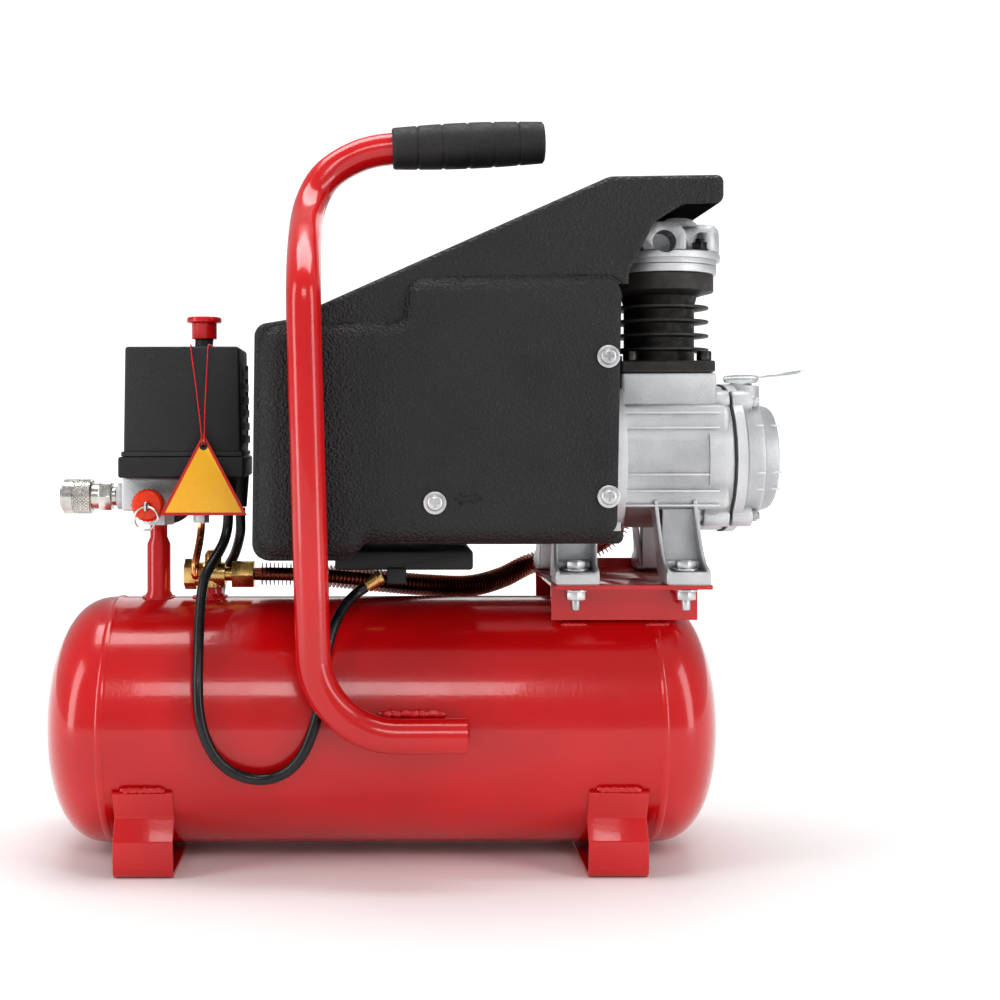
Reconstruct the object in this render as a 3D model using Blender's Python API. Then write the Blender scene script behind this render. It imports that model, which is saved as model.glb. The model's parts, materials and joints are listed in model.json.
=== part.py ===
"""A portable oil-lubricated air compressor with a 10 litre tank, one object for each of its pieces.

Every length below is in millimetres, measured from the point of the floor under the middle of the tank:
X runs along the tank, Y away from the handle's side and Z up. place() turns them into Blender's metres,
and the empty named compressor carries the whole model to the bottom centre of its own box.
"""

import math

import bmesh
import bpy
from mathutils import Matrix, Vector

MM = 0.001
GAP = 0.3  # between pieces that touch
SHIFT_X = -40.0
SHIFT_Y = 10.2

# Tank and feet
TANK_R = 86.5
TANK_Z = 92.0
TANK_LEFT = -229.0
TANK_RIGHT = 239.0
TANK_DOME = 45.0
TANK_WALL = 2.5
TANK_SIDES = 40
WELD_RISE = 0.9
DOME_POWER = 2.5  # 2 would be an ellipse; a pressed end is squarer
SEAM_INSET = 47.0  # from each end to its weld
FOOT_CENTRES = {"foot_strap_left": -154.0, "foot_strap_right": 162.0}
FOOT_WIDTH = 40.0
FOOT_SHEET = 3.0
DRAIN_ANGLE = math.radians(-38)  # below the rear horizontal
DRAIN_X = 95.0

# Handle
HANDLE_R = 11.5
HANDLE_BORE = 9.7
GRIP_START = 13.5
GRIP_END = 121.5
HANDLE_FOOT = [((60.0, -99.6, 99.0), 0), ((-38.5, -99.6, 99.0), 55.0), ((-45.5, -101.0, 370.0), 0)]
HANDLE_TOP = [
    (-45.5, -101.0, 370.0),
    (-45.8, -98.6, 388.5),
    (-46.3, -85.0, 406.0),
    (-46.8, -61.0, 426.0),
    (-46.6, -33.0, 445.5),
    (-43.2, -17.0, 462.2),
    (-36.0, -11.0, 476.5),
    (-25.3, -8.5, 486.5),
    (-10.7, -8.0, 494.2),
    (2.1, -8.0, 497.8),
    (12.9, -8.0, 499.2),
]
HANDLE_TIP = (118.5, -8.0, 503.4)

# Pump and motor
AXIS_Z = 278.0
CYL_X = 205.0
THROW = 20.0
ROD = 95.0
BORE = 21.0
PISTON_CROWN = 14.0  # above the wrist pin
CASE_LEFT = 166.0
CASE_RIGHT = 247.0
CASE_Y = 48.0
DECK_Z = 338.0  # the top face of the crankcase
HEAD_Z = 408.0  # the top face of the cylinder
BOLT_XS = (137.0, 212.0)
BOLT_Y = 55.5
PLATE_TOP = 193.0
PAD_HEIGHT = 9.0
PAD_HALF = 15.0
FILLER_Z = 329.8

# Hood
HOOD_Y = 81.5
PANEL_Y = 88.0
HOOD_WALL = 2.5
SHROUD_SCREWS = ((154.5, 346.5), (154.5, 254.2), (40.0, 250.2))
# Each corner as X, Z and its radius.
HOOD_OUTLINE = [
    (-81.5, 211, 12),
    (-79.5, 368.5, 8),
    (-58, 372, 10),
    (-34, 382.5, 10),
    (157, 467, 14),
    (200, 468, 0),
    (233, 468, 3),
    (233, 448.5, 6),
    (205, 447.5, 10),
    (187, 436, 10),
    (170, 403, 8),
    (166, 222, 3),
    (-8, 222, 6),
    (-16, 211, 6),
]
# The lower part of each side stands out as a panel: its corners as X, Z and radius.
PANEL_OUTLINE = [
    (-76, 216, 8),
    (-75, 366, 8),
    (20, 369, 5),
    (24, 398, 8),
    (166.5, 400, 5),
    (163, 226, 3),
    (-6, 226, 6),
    (-14, 216, 6),
]

# Pressure switch and fittings
PORT_Z = 251.0
RISER_X = -155.0
SWITCH_X = (-175.0, -93.0)
SWITCH_TOP = 357.0
KNOB_X = -122.0
VALVE_X = -118.0
VALVE_Z = 195.0
GLAND_MOUTH = (-5.0, -42.0, 190.5)
UNLOADER_ROUTE = [
    (-124.5, 0, 231.6),
    (-124.6, -1, 226),
    (-125.2, -7, 217),
    (-126.4, -15, 207),
    (-127, -19, 200),
    (-126.8, -18.5, 196),
    (-126.5, -15.5, 195),
    (-126.5, -12.9, 195),
]
DISCHARGE_ROUTE = [
    (-85.9, 0, 195),
    (-60, 1, 194.6),
    (-30, 6, 192.5),
    (5, 16, 188),
    (40, 30, 183.5),
    (72, 48, 181),
    (98, 70, 185),
    (120, 82, 194),
    (145, 84, 201),
    (168, 84, 205),
    (187, 83, 218),
    (197, 81, 245),
    (203, 79, 290),
    (208, 76, 340),
    (213, 72, 385),
    (216, 68, 412),
    (217, 62, 426),
    (217, 54, 433),
    (217, 46.6, 433),
]

# Cords
MOTOR_LEAD_D = 7.2
MAINS_D = 7.2
COIL_CENTRE = (-66.0, 190.0)
COIL_R = 42.0
COIL_HALF_WIDTH = 11.4
COIL_HEIGHT = 15.2
STRING_D = 1.0
TUBE_RESOLUTION = 2  # of the bevel that rounds a cord, a pipe or a string
SWITCH_GLANDS = ((-103.0, -20.0), (-97.0, 8.0))
GLAND_TOP = 266.0
GLAND_MOUTH_Z = 243.0
TAG_HOLE = (-118.0, -40.0, 287.5)
MOTOR_ROUTE = [
    (-103, -20, 242.4),
    (-103, -20, 238),
    (-103.3, -20.6, 231.5),
    (-104.2, -22.5, 225.3),
    (-105.7, -25.6, 219.7),
    (-107.7, -29.6, 215),
    (-110.8, -35.7, 209.3),
    (-113.8, -41.8, 203.6),
    (-115.8, -45.8, 199),
    (-117.3, -49.4, 193.2),
    (-118.2, -56, 181),
    (-118.3, -64.5, 167.5),
    (-117.4, -77, 149),
    (-116.6, -86.4, 131),
    (-115.2, -91.3, 114),
    (-111.5, -92.9, 98.6),
    (-104.6, -92.6, 84.6),
    (-94.5, -91, 74.6),
    (-82, -89.8, 69.4),
    (-69, -89.8, 69.2),
    (-57, -91.2, 74.6),
    (-47.6, -92.4, 85),
    (-41.2, -91, 99),
    (-37, -87.8, 113),
    (-34.4, -84, 127),
    (-33, -80, 140),
    (-31, -74, 154),
    (-27, -66, 166.5),
    (-21, -54.5, 177.2),
    (-13.6, -45.2, 184.6),
    (-9.5, -42.6, 187.5),
    (-5.9, -42, 189.9),
]
MAINS_ROUTE = [
    (-97, 8, 242.4),
    (-97, 8, 236),
    (-97.5, 11, 223),
    (-102, 18, 208),
    (-109, 27, 196),
    (-114, 40, 184),
    (-117, 56, 173),
    (-118, 72, 158),
    (-118.5, 85, 138),
    (-119, 93, 114),
    (-118.5, 96, 90),
    (-117, 97.2, 66),
    (-115.6, 98.8, 46),
    (-115, 100.2, 31),
    (-115.1, 103.2, 20.5),
    (-115.4, 108.3, 13),
    (-115.8, 115, 7.9),
    (-116.2, 122.2, 5.0),
    (-116.6, 131, 3.9),
    (-116.6, 146, 3.9),
    (-116.4, 161.3, 3.9),
]
TAIL_ROUTE = [(-15.6, 161.3, 11.4), (-15.4, 154, 11.8), (-15.2, 146, 12.2), (-15.2, 138.4, 12.4)]
STRING_ROUTE = [
    (-118.9, -41.4, 288.2),
    (-119.4, -41.3, 298),
    (-121.2, -39.6, 312),
    (-124.0, -36.6, 332),
    (-126.8, -33.8, 350),
    (-127.6, -32.0, 357.3),
    (-128.6, -25, 358.1),
    (-129.6, -10, 358.0),
    (-129.7, 0.5, 357.95),
    (-127.0, 6.0, 357.95),
    (-122.0, 8.0, 357.95),
    (-117.0, 6.0, 357.95),
    (-114.3, 0.5, 357.95),
    (-114.4, -10, 358.0),
    (-115.0, -25, 358.1),
    (-115.6, -32.0, 357.3),
    (-115.8, -33.8, 350),
    (-116.4, -36.6, 332),
    (-117.0, -39.6, 312),
    (-117.1, -41.3, 298),
    (-117.1, -41.4, 288.2),
]


# ---------------------------------------------------------------- making and placing


def clear_scene():
    for old in list(bpy.data.objects):
        bpy.data.objects.remove(old, do_unlink=True)


def material(name, colour, roughness, metallic=0.0):
    found = bpy.data.materials.get(name)
    if found:
        return found
    made = bpy.data.materials.new(name)
    made.use_nodes = True
    shader = made.node_tree.nodes["Principled BSDF"]
    shader.inputs["Base Color"].default_value = (*colour, 1.0)
    shader.inputs["Roughness"].default_value = roughness
    shader.inputs["Metallic"].default_value = metallic
    made.diffuse_color = (*colour, 1.0)
    return made


def red_enamel():
    return material("red_enamel", (0.62, 0.012, 0.018), 0.22)


def black_plastic():
    return material("black_plastic", (0.018, 0.018, 0.02), 0.6)


def black_rubber():
    return material("black_rubber", (0.02, 0.018, 0.017), 0.7)


def cast_aluminium():
    return material("cast_aluminium", (0.62, 0.63, 0.65), 0.45, 1.0)


def steel():
    return material("steel", (0.6, 0.6, 0.6), 0.3, 1.0)


def cast_iron():
    return material("cast_iron", (0.02, 0.017, 0.015), 0.75, 0.4)


def brass():
    return material("brass", (0.66, 0.46, 0.2), 0.3, 1.0)


def copper():
    return material("copper", (0.72, 0.25, 0.1), 0.3, 1.0)


def black_pvc():
    return material("black_pvc", (0.012, 0.012, 0.013), 0.3)


def clear_plastic():
    return material("clear_plastic", (0.85, 0.87, 0.88), 0.1)


def orange_anodised():
    return material("orange_anodised", (0.8, 0.09, 0.02), 0.3, 0.6)


def red_plastic():
    return material("red_plastic", (0.62, 0.012, 0.018), 0.25)


def yellow_card():
    return material("yellow_card", (0.9, 0.5, 0.03), 0.35)


def place(obj, at=(0.0, 0.0, 0.0)):
    """Hangs the object from the compressor empty, with its origin at the point at."""
    obj.parent = bpy.data.objects["compressor"]
    obj.location = Vector(at) * MM
    bpy.context.scene.collection.objects.link(obj)
    return obj


def from_bmesh(name, bm, finish, at=(0.0, 0.0, 0.0)):
    """Makes a closed shape, given in millimetres about the point at, into an object."""
    bmesh.ops.recalc_face_normals(bm, faces=bm.faces)
    bmesh.ops.scale(bm, vec=(MM, MM, MM), verts=bm.verts)
    mesh = bpy.data.meshes.new(name)
    bm.to_mesh(mesh)
    bm.free()
    mesh.shade_smooth()
    mesh.set_sharp_from_angle(angle=math.radians(35))
    mesh.materials.append(finish)
    return place(bpy.data.objects.new(name, mesh), at)


def combine(obj, other, operation):
    """Joins the other shape to the object or takes it away, and leaves the other as a hidden helper."""
    other.hide_render = True
    other.display_type = "WIRE"
    step = obj.modifiers.new(f"{operation.lower()}_{other.name}", "BOOLEAN")
    step.operation = operation
    step.object = other
    step.solver = "EXACT"
    return obj


def join(obj, *others):
    for other in others:
        combine(obj, other, "UNION")
    return obj


def cut(obj, *others):
    for other in others:
        combine(obj, other, "DIFFERENCE")
    return obj


# ---------------------------------------------------------------- shapes

TURNS = {
    "X": Matrix.Rotation(math.radians(90), 4, "Y"),
    "Y": Matrix.Rotation(math.radians(-90), 4, "X"),
    "Z": Matrix.Identity(4),
}


def turned(name, profile, at, axis, finish, sides=24, phase=0.0):
    """A turned piece: profile lists (distance along the axis, radius) round the section, from the point at.

    A profile that starts and ends on the axis is solid, and any other profile closes on itself as a ring.
    """
    bm = bmesh.new()
    solid = profile[0][1] == 0 and profile[-1][1] == 0
    rings = []
    for along, radius in profile:
        if radius == 0:
            rings.append([bm.verts.new((0, 0, along))])
            continue
        ring = []
        for i in range(sides):
            angle = math.tau * (i + phase) / sides
            ring.append(bm.verts.new((radius * math.cos(angle), radius * math.sin(angle), along)))
        rings.append(ring)
    pairs = list(zip(rings, rings[1:]))
    if not solid:
        pairs.append((rings[-1], rings[0]))
    for low, high in pairs:
        tip = low[0] if len(low) == 1 else high[0]
        wall = high if len(low) == 1 else low
        if len(low) != len(high) and abs(tip.co.z - wall[0].co.z) < 1e-6:
            bm.faces.new(wall)
            bm.verts.remove(tip)
            continue
        for i in range(sides):
            j = (i + 1) % sides
            if len(low) == 1:
                bm.faces.new((low[0], high[i], high[j]))
            elif len(high) == 1:
                bm.faces.new((low[i], high[0], low[j]))
            else:
                bm.faces.new((low[i], high[i], high[j], low[j]))
    bm.transform(TURNS[axis])
    return from_bmesh(name, bm, finish, at)


def rod(name, at, axis, start, end, radius, finish, sides=16, phase=0.0):
    profile = [(start, 0), (start, radius), (end, radius), (end, 0)]
    return turned(name, profile, at, axis, finish, sides, phase)


def ring(name, at, axis, start, end, outer, inner, finish, sides=24, phase=0.0):
    profile = [(start, inner), (start, outer), (end, outer), (end, inner)]
    return turned(name, profile, at, axis, finish, sides, phase)


def hexagon(name, at, axis, start, end, flats, bore, finish):
    """A hexagon nut or spanner flat, measured across its flats, with a six-sided bore inside it."""
    corner = flats / math.sqrt(3)
    return ring(name, at, axis, start, end, corner, bore, finish, 6, 0.5)


def box(name, low, high, finish, bevel=0.0, segments=1):
    bm = bmesh.new()
    bmesh.ops.create_cube(bm, size=1.0)
    size = [h - l for l, h in zip(low, high)]
    middle = [(h + l) / 2 for l, h in zip(low, high)]
    bmesh.ops.scale(bm, vec=size, verts=bm.verts)
    if bevel:
        edges = bm.edges[:]
        bmesh.ops.bevel(bm, geom=edges, offset=bevel, segments=segments, profile=0.5, affect="EDGES")
    return from_bmesh(name, bm, finish, middle)


def prism(name, outline, axis, start, end, finish, at=(0.0, 0.0, 0.0), bevel=0.0):
    """Pushes an outline along an axis. The outline gives (X, Z) for axis Y, (Y, Z) for X and (X, Y) for Z."""
    bm = bmesh.new()
    spots = {"X": lambda a, b, t: (t, a, b), "Y": lambda a, b, t: (a, t, b), "Z": lambda a, b, t: (a, b, t)}
    spot = spots[axis]
    first = [bm.verts.new(spot(a, b, start)) for a, b in outline]
    last = [bm.verts.new(spot(a, b, end)) for a, b in outline]
    bm.faces.new(first)
    bm.faces.new(list(reversed(last)))
    count = len(outline)
    for i in range(count):
        j = (i + 1) % count
        bm.faces.new((first[i], last[i], last[j], first[j]))
    bmesh.ops.recalc_face_normals(bm, faces=bm.faces)
    if bevel:
        caps = set(bm.faces[:2])
        rims = [e for e in bm.edges if any(f in caps for f in e.link_faces)]
        bmesh.ops.bevel(bm, geom=rims, offset=bevel, segments=1, profile=0.5, affect="EDGES")
    return from_bmesh(name, bm, finish, at)


def rounded(corners, steps=5):
    """Replaces each (point, radius) corner of a path or outline by its arc; radius 0 keeps it."""
    path = []
    count = len(corners)
    for i, (corner, radius) in enumerate(corners):
        corner = Vector(corner)
        if radius == 0:
            path.append(corner)
            continue
        before = (Vector(corners[i - 1][0]) - corner).normalized()
        after = (Vector(corners[(i + 1) % count][0]) - corner).normalized()
        half = before.angle(after) / 2
        reach = radius / math.tan(half)
        middle = corner + (before + after).normalized() * radius / math.sin(half)
        start = corner + before * reach - middle
        end = corner + after * reach - middle
        sweep = start.angle(end)
        for k in range(steps + 1):
            t = k / steps
            blend = (math.sin((1 - t) * sweep) * start + math.sin(t * sweep) * end) / math.sin(sweep)
            path.append(middle + blend)
    return path


def smooth_route(points, spacing):
    """A Catmull-Rom curve through the points, read off every spacing millimetres."""
    ends = [2 * Vector(points[0]) - Vector(points[1]), 2 * Vector(points[-1]) - Vector(points[-2])]
    knots = [ends[0]] + [Vector(p) for p in points] + [ends[1]]
    fine = []
    for a, b, c, d in zip(knots, knots[1:], knots[2:], knots[3:]):
        for k in range(16):
            t = k / 16
            square = (2 * a - 5 * b + 4 * c - d) * t**2
            cube = (3 * b - a - 3 * c + d) * t**3
            fine.append(0.5 * (2 * b + (c - a) * t + square + cube))
    fine.append(knots[-2])
    lengths = [0.0]
    for a, b in zip(fine, fine[1:]):
        lengths.append(lengths[-1] + (b - a).length)
    count = max(2, round(lengths[-1] / spacing))
    route = []
    i = 0
    for k in range(count + 1):
        want = lengths[-1] * k / count
        while i < len(fine) - 2 and lengths[i + 1] < want:
            i += 1
        share = (want - lengths[i]) / (lengths[i + 1] - lengths[i])
        route.append(fine[i].lerp(fine[i + 1], min(1.0, share)))
    return route


def tube(name, route, radius, finish):
    """A round bar along a route, as a curve with a bevel and filled caps."""
    curve = bpy.data.curves.new(name, "CURVE")
    curve.dimensions = "3D"
    spline = curve.splines.new("POLY")
    spline.points.add(len(route) - 1)
    for point, spot in zip(spline.points, route):
        point.co = (*(Vector(spot) * MM), 1.0)
    curve.bevel_depth = radius * MM
    curve.bevel_resolution = TUBE_RESOLUTION
    curve.use_fill_caps = True
    curve.materials.append(finish)
    return place(bpy.data.objects.new(name, curve))


def pipe(name, route, outer, inner, finish, sides=16):
    """A hollow tube along a route, open at both ends, swept without twisting."""
    bm = bmesh.new()
    side = Vector((0, 1, 0))
    skins = ([], [])
    for i, spot in enumerate(route):
        ahead = route[min(i + 1, len(route) - 1)] - route[max(i - 1, 0)]
        ahead.normalize()
        side = (side - ahead * side.dot(ahead)).normalized()
        up = ahead.cross(side)
        for skin, radius in zip(skins, (outer, inner)):
            loop = []
            for k in range(sides):
                angle = math.tau * k / sides
                loop.append(bm.verts.new(spot + radius * (math.cos(angle) * side + math.sin(angle) * up)))
            skin.append(loop)
    loops = skins[0] + list(reversed(skins[1]))
    for low, high in zip(loops, loops[1:] + loops[:1]):
        for k in range(sides):
            j = (k + 1) % sides
            bm.faces.new((low[k], low[j], high[j], high[k]))
    return from_bmesh(name, bm, finish)


# ---------------------------------------------------------------- tank, feet and handle


def dome(end, radius, depth, steps=5):
    """Points of a pressed tank end, from its tip to where it meets the cylinder."""
    points = []
    for k in range(steps + 1):
        angle = math.pi / 2 * k / steps
        inward = depth * (1 - math.cos(angle) ** (2 / DOME_POWER))
        points.append((end - inward, radius * math.sin(angle) ** (2 / DOME_POWER)))
    return points


def shell(inset, seam):
    """The tank's skin from its right tip to its left one, moved in by inset, with a raised weld at a seam."""
    middle = (TANK_RIGHT + TANK_LEFT) / 2
    end = (TANK_RIGHT - TANK_LEFT) / 2 - inset
    radius = TANK_R - inset
    half = dome(end, radius, TANK_DOME - inset)
    if seam:
        weld = end - SEAM_INSET
        half += [(weld + 3, radius), (weld, radius + seam), (weld - 3, radius)]
    mirrored = [(-x, r) for x, r in reversed(half)]
    return [(x + middle, r) for x, r in half + mirrored]


def tank_shell():
    centre = (0, 0, TANK_Z)
    tank = turned("tank_shell", list(reversed(shell(0.0, WELD_RISE))), centre, "X", red_enamel(), TANK_SIDES)
    hollow = turned("tank_hollow", list(reversed(shell(TANK_WALL, 0.0))), centre, "X", red_enamel(), 24)
    top = TANK_Z + TANK_R
    ports = [
        rod("tank_port_riser", (RISER_X, 0, top), "Z", -12, 6, 4, red_enamel(), 12, 0.4),
        rod("tank_port_valve", (VALVE_X, 0, top), "Z", -12, 6, 5, red_enamel(), 12, 0.4),
        drain_rod("tank_port_drain", -20, 8, 4, red_enamel(), 12),
    ]
    return cut(tank, hollow, *ports)


def drain_rod(name, start, end, radius, finish, sides=16):
    """A round bar on the drain's line, with its length measured outwards from the tank's surface."""
    made = rod(name, (0, 0, 0), "Z", start, end, radius, finish, sides)
    return aim_at_drain(made)


def aim_at_drain(obj):
    obj.rotation_euler = (-math.pi / 2 + DRAIN_ANGLE, 0, 0)
    outward = Vector((0, math.cos(DRAIN_ANGLE), math.sin(DRAIN_ANGLE)))
    obj.location = (Vector((DRAIN_X, 0, TANK_Z)) + outward * TANK_R) * MM
    return obj


def drain_cock():
    finish = brass()
    aim_at_drain(ring("drain_cock_body", (0, 0, 0), "Z", 0.4, 9.6, 7, 2.6, finish, 6))
    profile = [(9.9, 0), (9.9, 4.8), (11.5, 5.5), (17.5, 5.5), (18.5, 4.8), (18.5, 0)]
    aim_at_drain(turned("drain_screw", profile, (0, 0, 0), "Z", finish, 16))


def foot_section():
    """Half of a foot strap's section as a line: the tab on the tank, the slope, the front and the floor."""
    skin = TANK_R + GAP + 0.2
    line = []
    for drop in (33.0, 38.0, 43.0, 49.0):
        line.append((-math.sqrt(skin**2 - drop**2), TANK_Z - drop))
    return line


def foot_strap(name, centre):
    """A strap bent from one strip: a tab up each side of the tank, a slope, a front wall and a floor run."""
    inner = foot_section()
    tab = [(y - FOOT_SHEET * 0.83, z - FOOT_SHEET * 0.55) for y, z in inner]
    outer_walk = [((y, z), 0) for y, z in tab[:-1]]
    outer_walk += [((-74.0, 39.5), 2.0), ((-81.5, 25.0), 3.0), ((-81.5, 0.0), 7.0)]
    inner_walk = [((y, z), 0) for y, z in inner]
    inner_walk += [((-71.0, 40.0), 2.0), ((-78.5, 24.0), 2.0), ((-78.5, FOOT_SHEET), 4.0)]
    outer = walk(outer_walk + [((0.0, 0.0), 0)])
    inner = walk(inner_walk + [((0.0, FOOT_SHEET), 0)])
    half = outer[:-1] + [(-y, z) for y, z in reversed(outer[:-1])]
    back = inner[:-1] + [(-y, z) for y, z in reversed(inner[:-1])]
    outline = half + list(reversed(back))
    width = FOOT_WIDTH / 2
    return prism(name, outline, "X", -width, width, red_enamel(), (centre, 0, 0))


def walk(corners):
    """An open path of 2-D corners with their radii, as plain pairs."""
    lifted = [((a, b, 0.0), radius) for (a, b), radius in corners]
    return [(p.x, p.y) for p in rounded(lifted, 3)]


def handle():
    """One bent tube, with a rubber sleeve closed at its end slid over the tip."""
    route = rounded(HANDLE_FOOT, 6)[:-1] + smooth_route(HANDLE_TOP, 13) + [Vector(HANDLE_TIP)]
    pipe("handle_tube", route, HANDLE_R, HANDLE_BORE, red_enamel(), 16)
    end = Vector(HANDLE_TIP)
    rise = end - Vector(HANDLE_TOP[-1])
    tilt = math.atan2(rise.z, rise.x)
    start = end + rise * (GRIP_START - end.x) / rise.x
    length = GRIP_END - GRIP_START
    profile = [(0, 0), (0, 13.6), (2, 14.6)]
    for k in range(1, 6):
        along = length * k / 6
        radius = 14.7 + 1.6 * math.sin(math.pi * k / 6)
        profile += [(along - 1.2, radius), (along, radius - 0.9), (along + 1.2, radius)]
    profile += [(length - 4, 15.2), (length, 13.2), (length, 0)]
    body = turned("handle_grip", profile, start, "X", black_rubber(), 20)
    hole = rod("grip_hole", start, "X", -5, end.x - GRIP_START + 1.0, HANDLE_R + GAP, black_rubber(), 20)
    for piece in (body, hole):
        piece.rotation_euler = (0, -tilt, 0)
    return cut(body, hole)


# ---------------------------------------------------------------- bracket, pump and motor


def pump_bracket():
    """A folded channel welded to the tank: a plate, two flanges that stand on the tank and a rear lip."""
    finish = red_enamel()
    plate = box("pump_bracket", (122, -63, PLATE_TOP - 3), (229, 71, PLATE_TOP), finish)
    foot = TANK_Z + math.sqrt(TANK_R**2 - 46**2) + 2.2
    flanges = [
        box(f"bracket_flange_{k}", (121.5, y - 1.5, foot), (222, y + 1.5, PLATE_TOP - 1), finish)
        for k, y in enumerate((-46, 46))
    ]
    lip = box("bracket_lip", (122, 68.5, PLATE_TOP - 2), (229, 71, 200), finish)
    holes = [
        rod(f"bracket_hole_{x}_{y}", (x, y, PLATE_TOP), "Z", -9, 6, 3.6, finish, 12)
        for x in BOLT_XS
        for y in (-BOLT_Y, BOLT_Y)
    ]
    return cut(join(plate, *flanges, lip), *holes)


def leg(name, x, side):
    """One cast foot: a pad on the plate and a web that narrows up into the casting."""
    finish = cast_aluminium()
    y = side * BOLT_Y
    low = min(y - 12, y + 12)
    top = PLATE_TOP + PAD_HEIGHT
    foot = (x - PAD_HALF, low, PLATE_TOP + GAP)
    pad = box(f"{name}_pad", foot, (x + PAD_HALF, low + 24, top), finish, 1.2, 1)
    inner = side * 30.0
    outline = [
        (side * 46.0, PLATE_TOP + 4),
        (inner, PLATE_TOP + 4),
        (inner, 250.0),
        (side * 44.0, 250.0),
        (side * 42.0, 225.0),
        (side * 43.5, 210.0),
    ]
    web = prism(f"{name}_web", outline, "X", x - 13.0, x + 13.0, finish)
    return [pad, web]


def crankcase():
    finish = cast_aluminium()
    body = box("crankcase", (CASE_LEFT, -CASE_Y, 243), (CASE_RIGHT - 1, CASE_Y, 316), finish, 6, 3)
    extra = [
        rod("crankcase_barrel", (0, 0, AXIS_Z), "X", CASE_LEFT + 1, CASE_RIGHT, 50, finish, 24),
        rod("crankcase_rim", (0, 0, AXIS_Z), "X", 230, CASE_RIGHT + 0.001, 52, finish, 24),
        rod("motor_flange", (0, 0, AXIS_Z), "X", 150, CASE_LEFT + 6, 62, finish, 24),
        box("cylinder_deck", (171, -39, 300), (238, 39, DECK_Z), finish, 3, 2),
    ]
    for k, (x, side) in enumerate((x, side) for x in BOLT_XS for side in (-1, 1)):
        extra += leg(f"leg_{k}", x, side)
    extra.append(box("left_rail_front", (127, -44, 222), (170, -30, 250), finish))
    extra.append(box("left_rail_rear", (127, 30, 222), (170, 44, 250), finish))
    holes = [
        rod("crank_chamber", (0, 0, AXIS_Z), "X", 176, CASE_RIGHT + 10, 44, finish, 24),
        rod("cylinder_mouth", (CYL_X, 0, 300), "Z", 0, 50, BORE + 3.8, finish, 24),
        rod("bearing_seat", (0, 0, AXIS_Z), "X", 140, 180, 16.3, finish, 24),
        rod("stator_space", (0, 0, AXIS_Z), "X", 110, 152, 64.5, finish, 24),
    ]
    for x in BOLT_XS:
        for y in (-BOLT_Y, BOLT_Y):
            holes.append(rod(f"pad_hole_{x}_{y}", (x, y, PLATE_TOP), "Z", -4, 14, 3.6, finish, 12))
    return cut(join(body, *extra), *holes)


def crankcase_cover():
    centre = (0, 0, AXIS_Z)
    ring("crankcase_gasket", centre, "X", CASE_RIGHT + GAP, CASE_RIGHT + 1.3, 53, 45, black_rubber(), 24)
    start = CASE_RIGHT + 1.6
    profile = [
        (start + 9, 0),
        (start + 9, 40),
        (start, 42),
        (start, 53),
        (start + 7.5, 53),
        (start + 8, 46),
        (start + 22, 43.5),
        (start + 23, 38),
        (start + 33.5, 35),
        (start + 34.5, 0),
    ]
    cover = turned("crankcase_cover", profile, centre, "X", cast_aluminium(), 24)
    boss = rod("filler_boss", (264, 0, 300), "Z", 0, FILLER_Z - 300, 13, cast_aluminium(), 24)
    hole = rod("filler_hole", (264, 0, 305), "Z", 0, 40, 8.3, cast_aluminium(), 24)
    return cut(join(cover, boss), hole)


def oil_plug():
    """The filler plug: a stem in the boss, a wide flange, and a clear dipstick tab that points outwards."""
    finish = clear_plastic()
    profile = [(-14, 0), (-14, 7.8), (1.5, 7.8), (1.5, 11), (3.5, 12.5), (6, 12.5), (7, 11), (7, 0)]
    plug = turned("oil_plug", [(a + GAP, r) for a, r in profile], (264, 0, FILLER_Z), "Z", finish, 24)
    outline = [(0, 4.4), (40.3, 7.8), (45, 11.4), (0, 6.6)]
    tab = prism("oil_plug_tab", outline, "Y", -5, 5, finish, (264, 0, FILLER_Z))
    return join(plug, tab)


def cylinder():
    """The finned barrel on its square flange, with a round flange for the head."""
    finish = cast_iron()
    base = DECK_Z + GAP
    profile = [(0, BORE), (0, 30), (8, 30), (8, 25)]
    for z in (15.5, 25.5, 35.5, 45.5):
        profile += [(z, 25), (z + 0.3, 35), (z + 2.2, 35), (z + 2.5, 25)]
    profile += [(55, 27), (58, 38.5), (HEAD_Z - base, 38.5), (HEAD_Z - base, BORE)]
    barrel = turned("cylinder", profile, (CYL_X, 0, base), "Z", finish, 24)
    flange = box("cylinder_flange", (172, -38, base), (237, 38, base + 8), finish, 1, 1)
    bore = rod("cylinder_bore", (CYL_X, 0, base), "Z", -5, 90, BORE, finish, 24)
    return cut(join(barrel, flange), bore)


def cylinder_head():
    finish = cast_aluminium()
    plate = [(0, 0), (0, 40.5), (5.8, 40.5), (5.8, 0)]
    turned("valve_plate", [(a + HEAD_Z + GAP, r) for a, r in plate], (CYL_X, 0, 0), "Z", finish, 24)
    base = HEAD_Z + 6.4
    profile = [(0, 0), (0, 40.5), (3.5, 40.5), (3.5, 43), (8, 43), (9, 41), (9, 0)]
    head = turned("cylinder_head", profile, (CYL_X, 0, base), "Z", finish, 24)
    corners = ((-15, base, 0), (-15, 443, 11), (15, 443, 11), (15, base, 0))
    arch = rounded([((x, 0, z), r) for x, z, r in corners], 4)
    front = prism("intake_boss", [(p.x, p.z) for p in arch], "Y", -36, 12, finish, (CYL_X - 3, 0, 0))
    rear = prism("outlet_boss", [(p.x, p.z + 6) for p in arch], "Y", -12, 44, finish, (CYL_X + 12, 0, 0))
    side = box("head_side_boss", (CYL_X - 10, -15, base + 3), (CYL_X + 42, 15, 445), finish, 8, 3)
    intake = rod("intake_bore", (CYL_X - 3, 0, 429), "Y", -50, -16, 8.2, finish, 24)
    outlet = rod("outlet_bore", (CYL_X + 12, 0, 433), "Y", 25, 60, 6, finish, 24)
    return cut(join(head, front, rear, side), intake, outlet)


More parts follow.
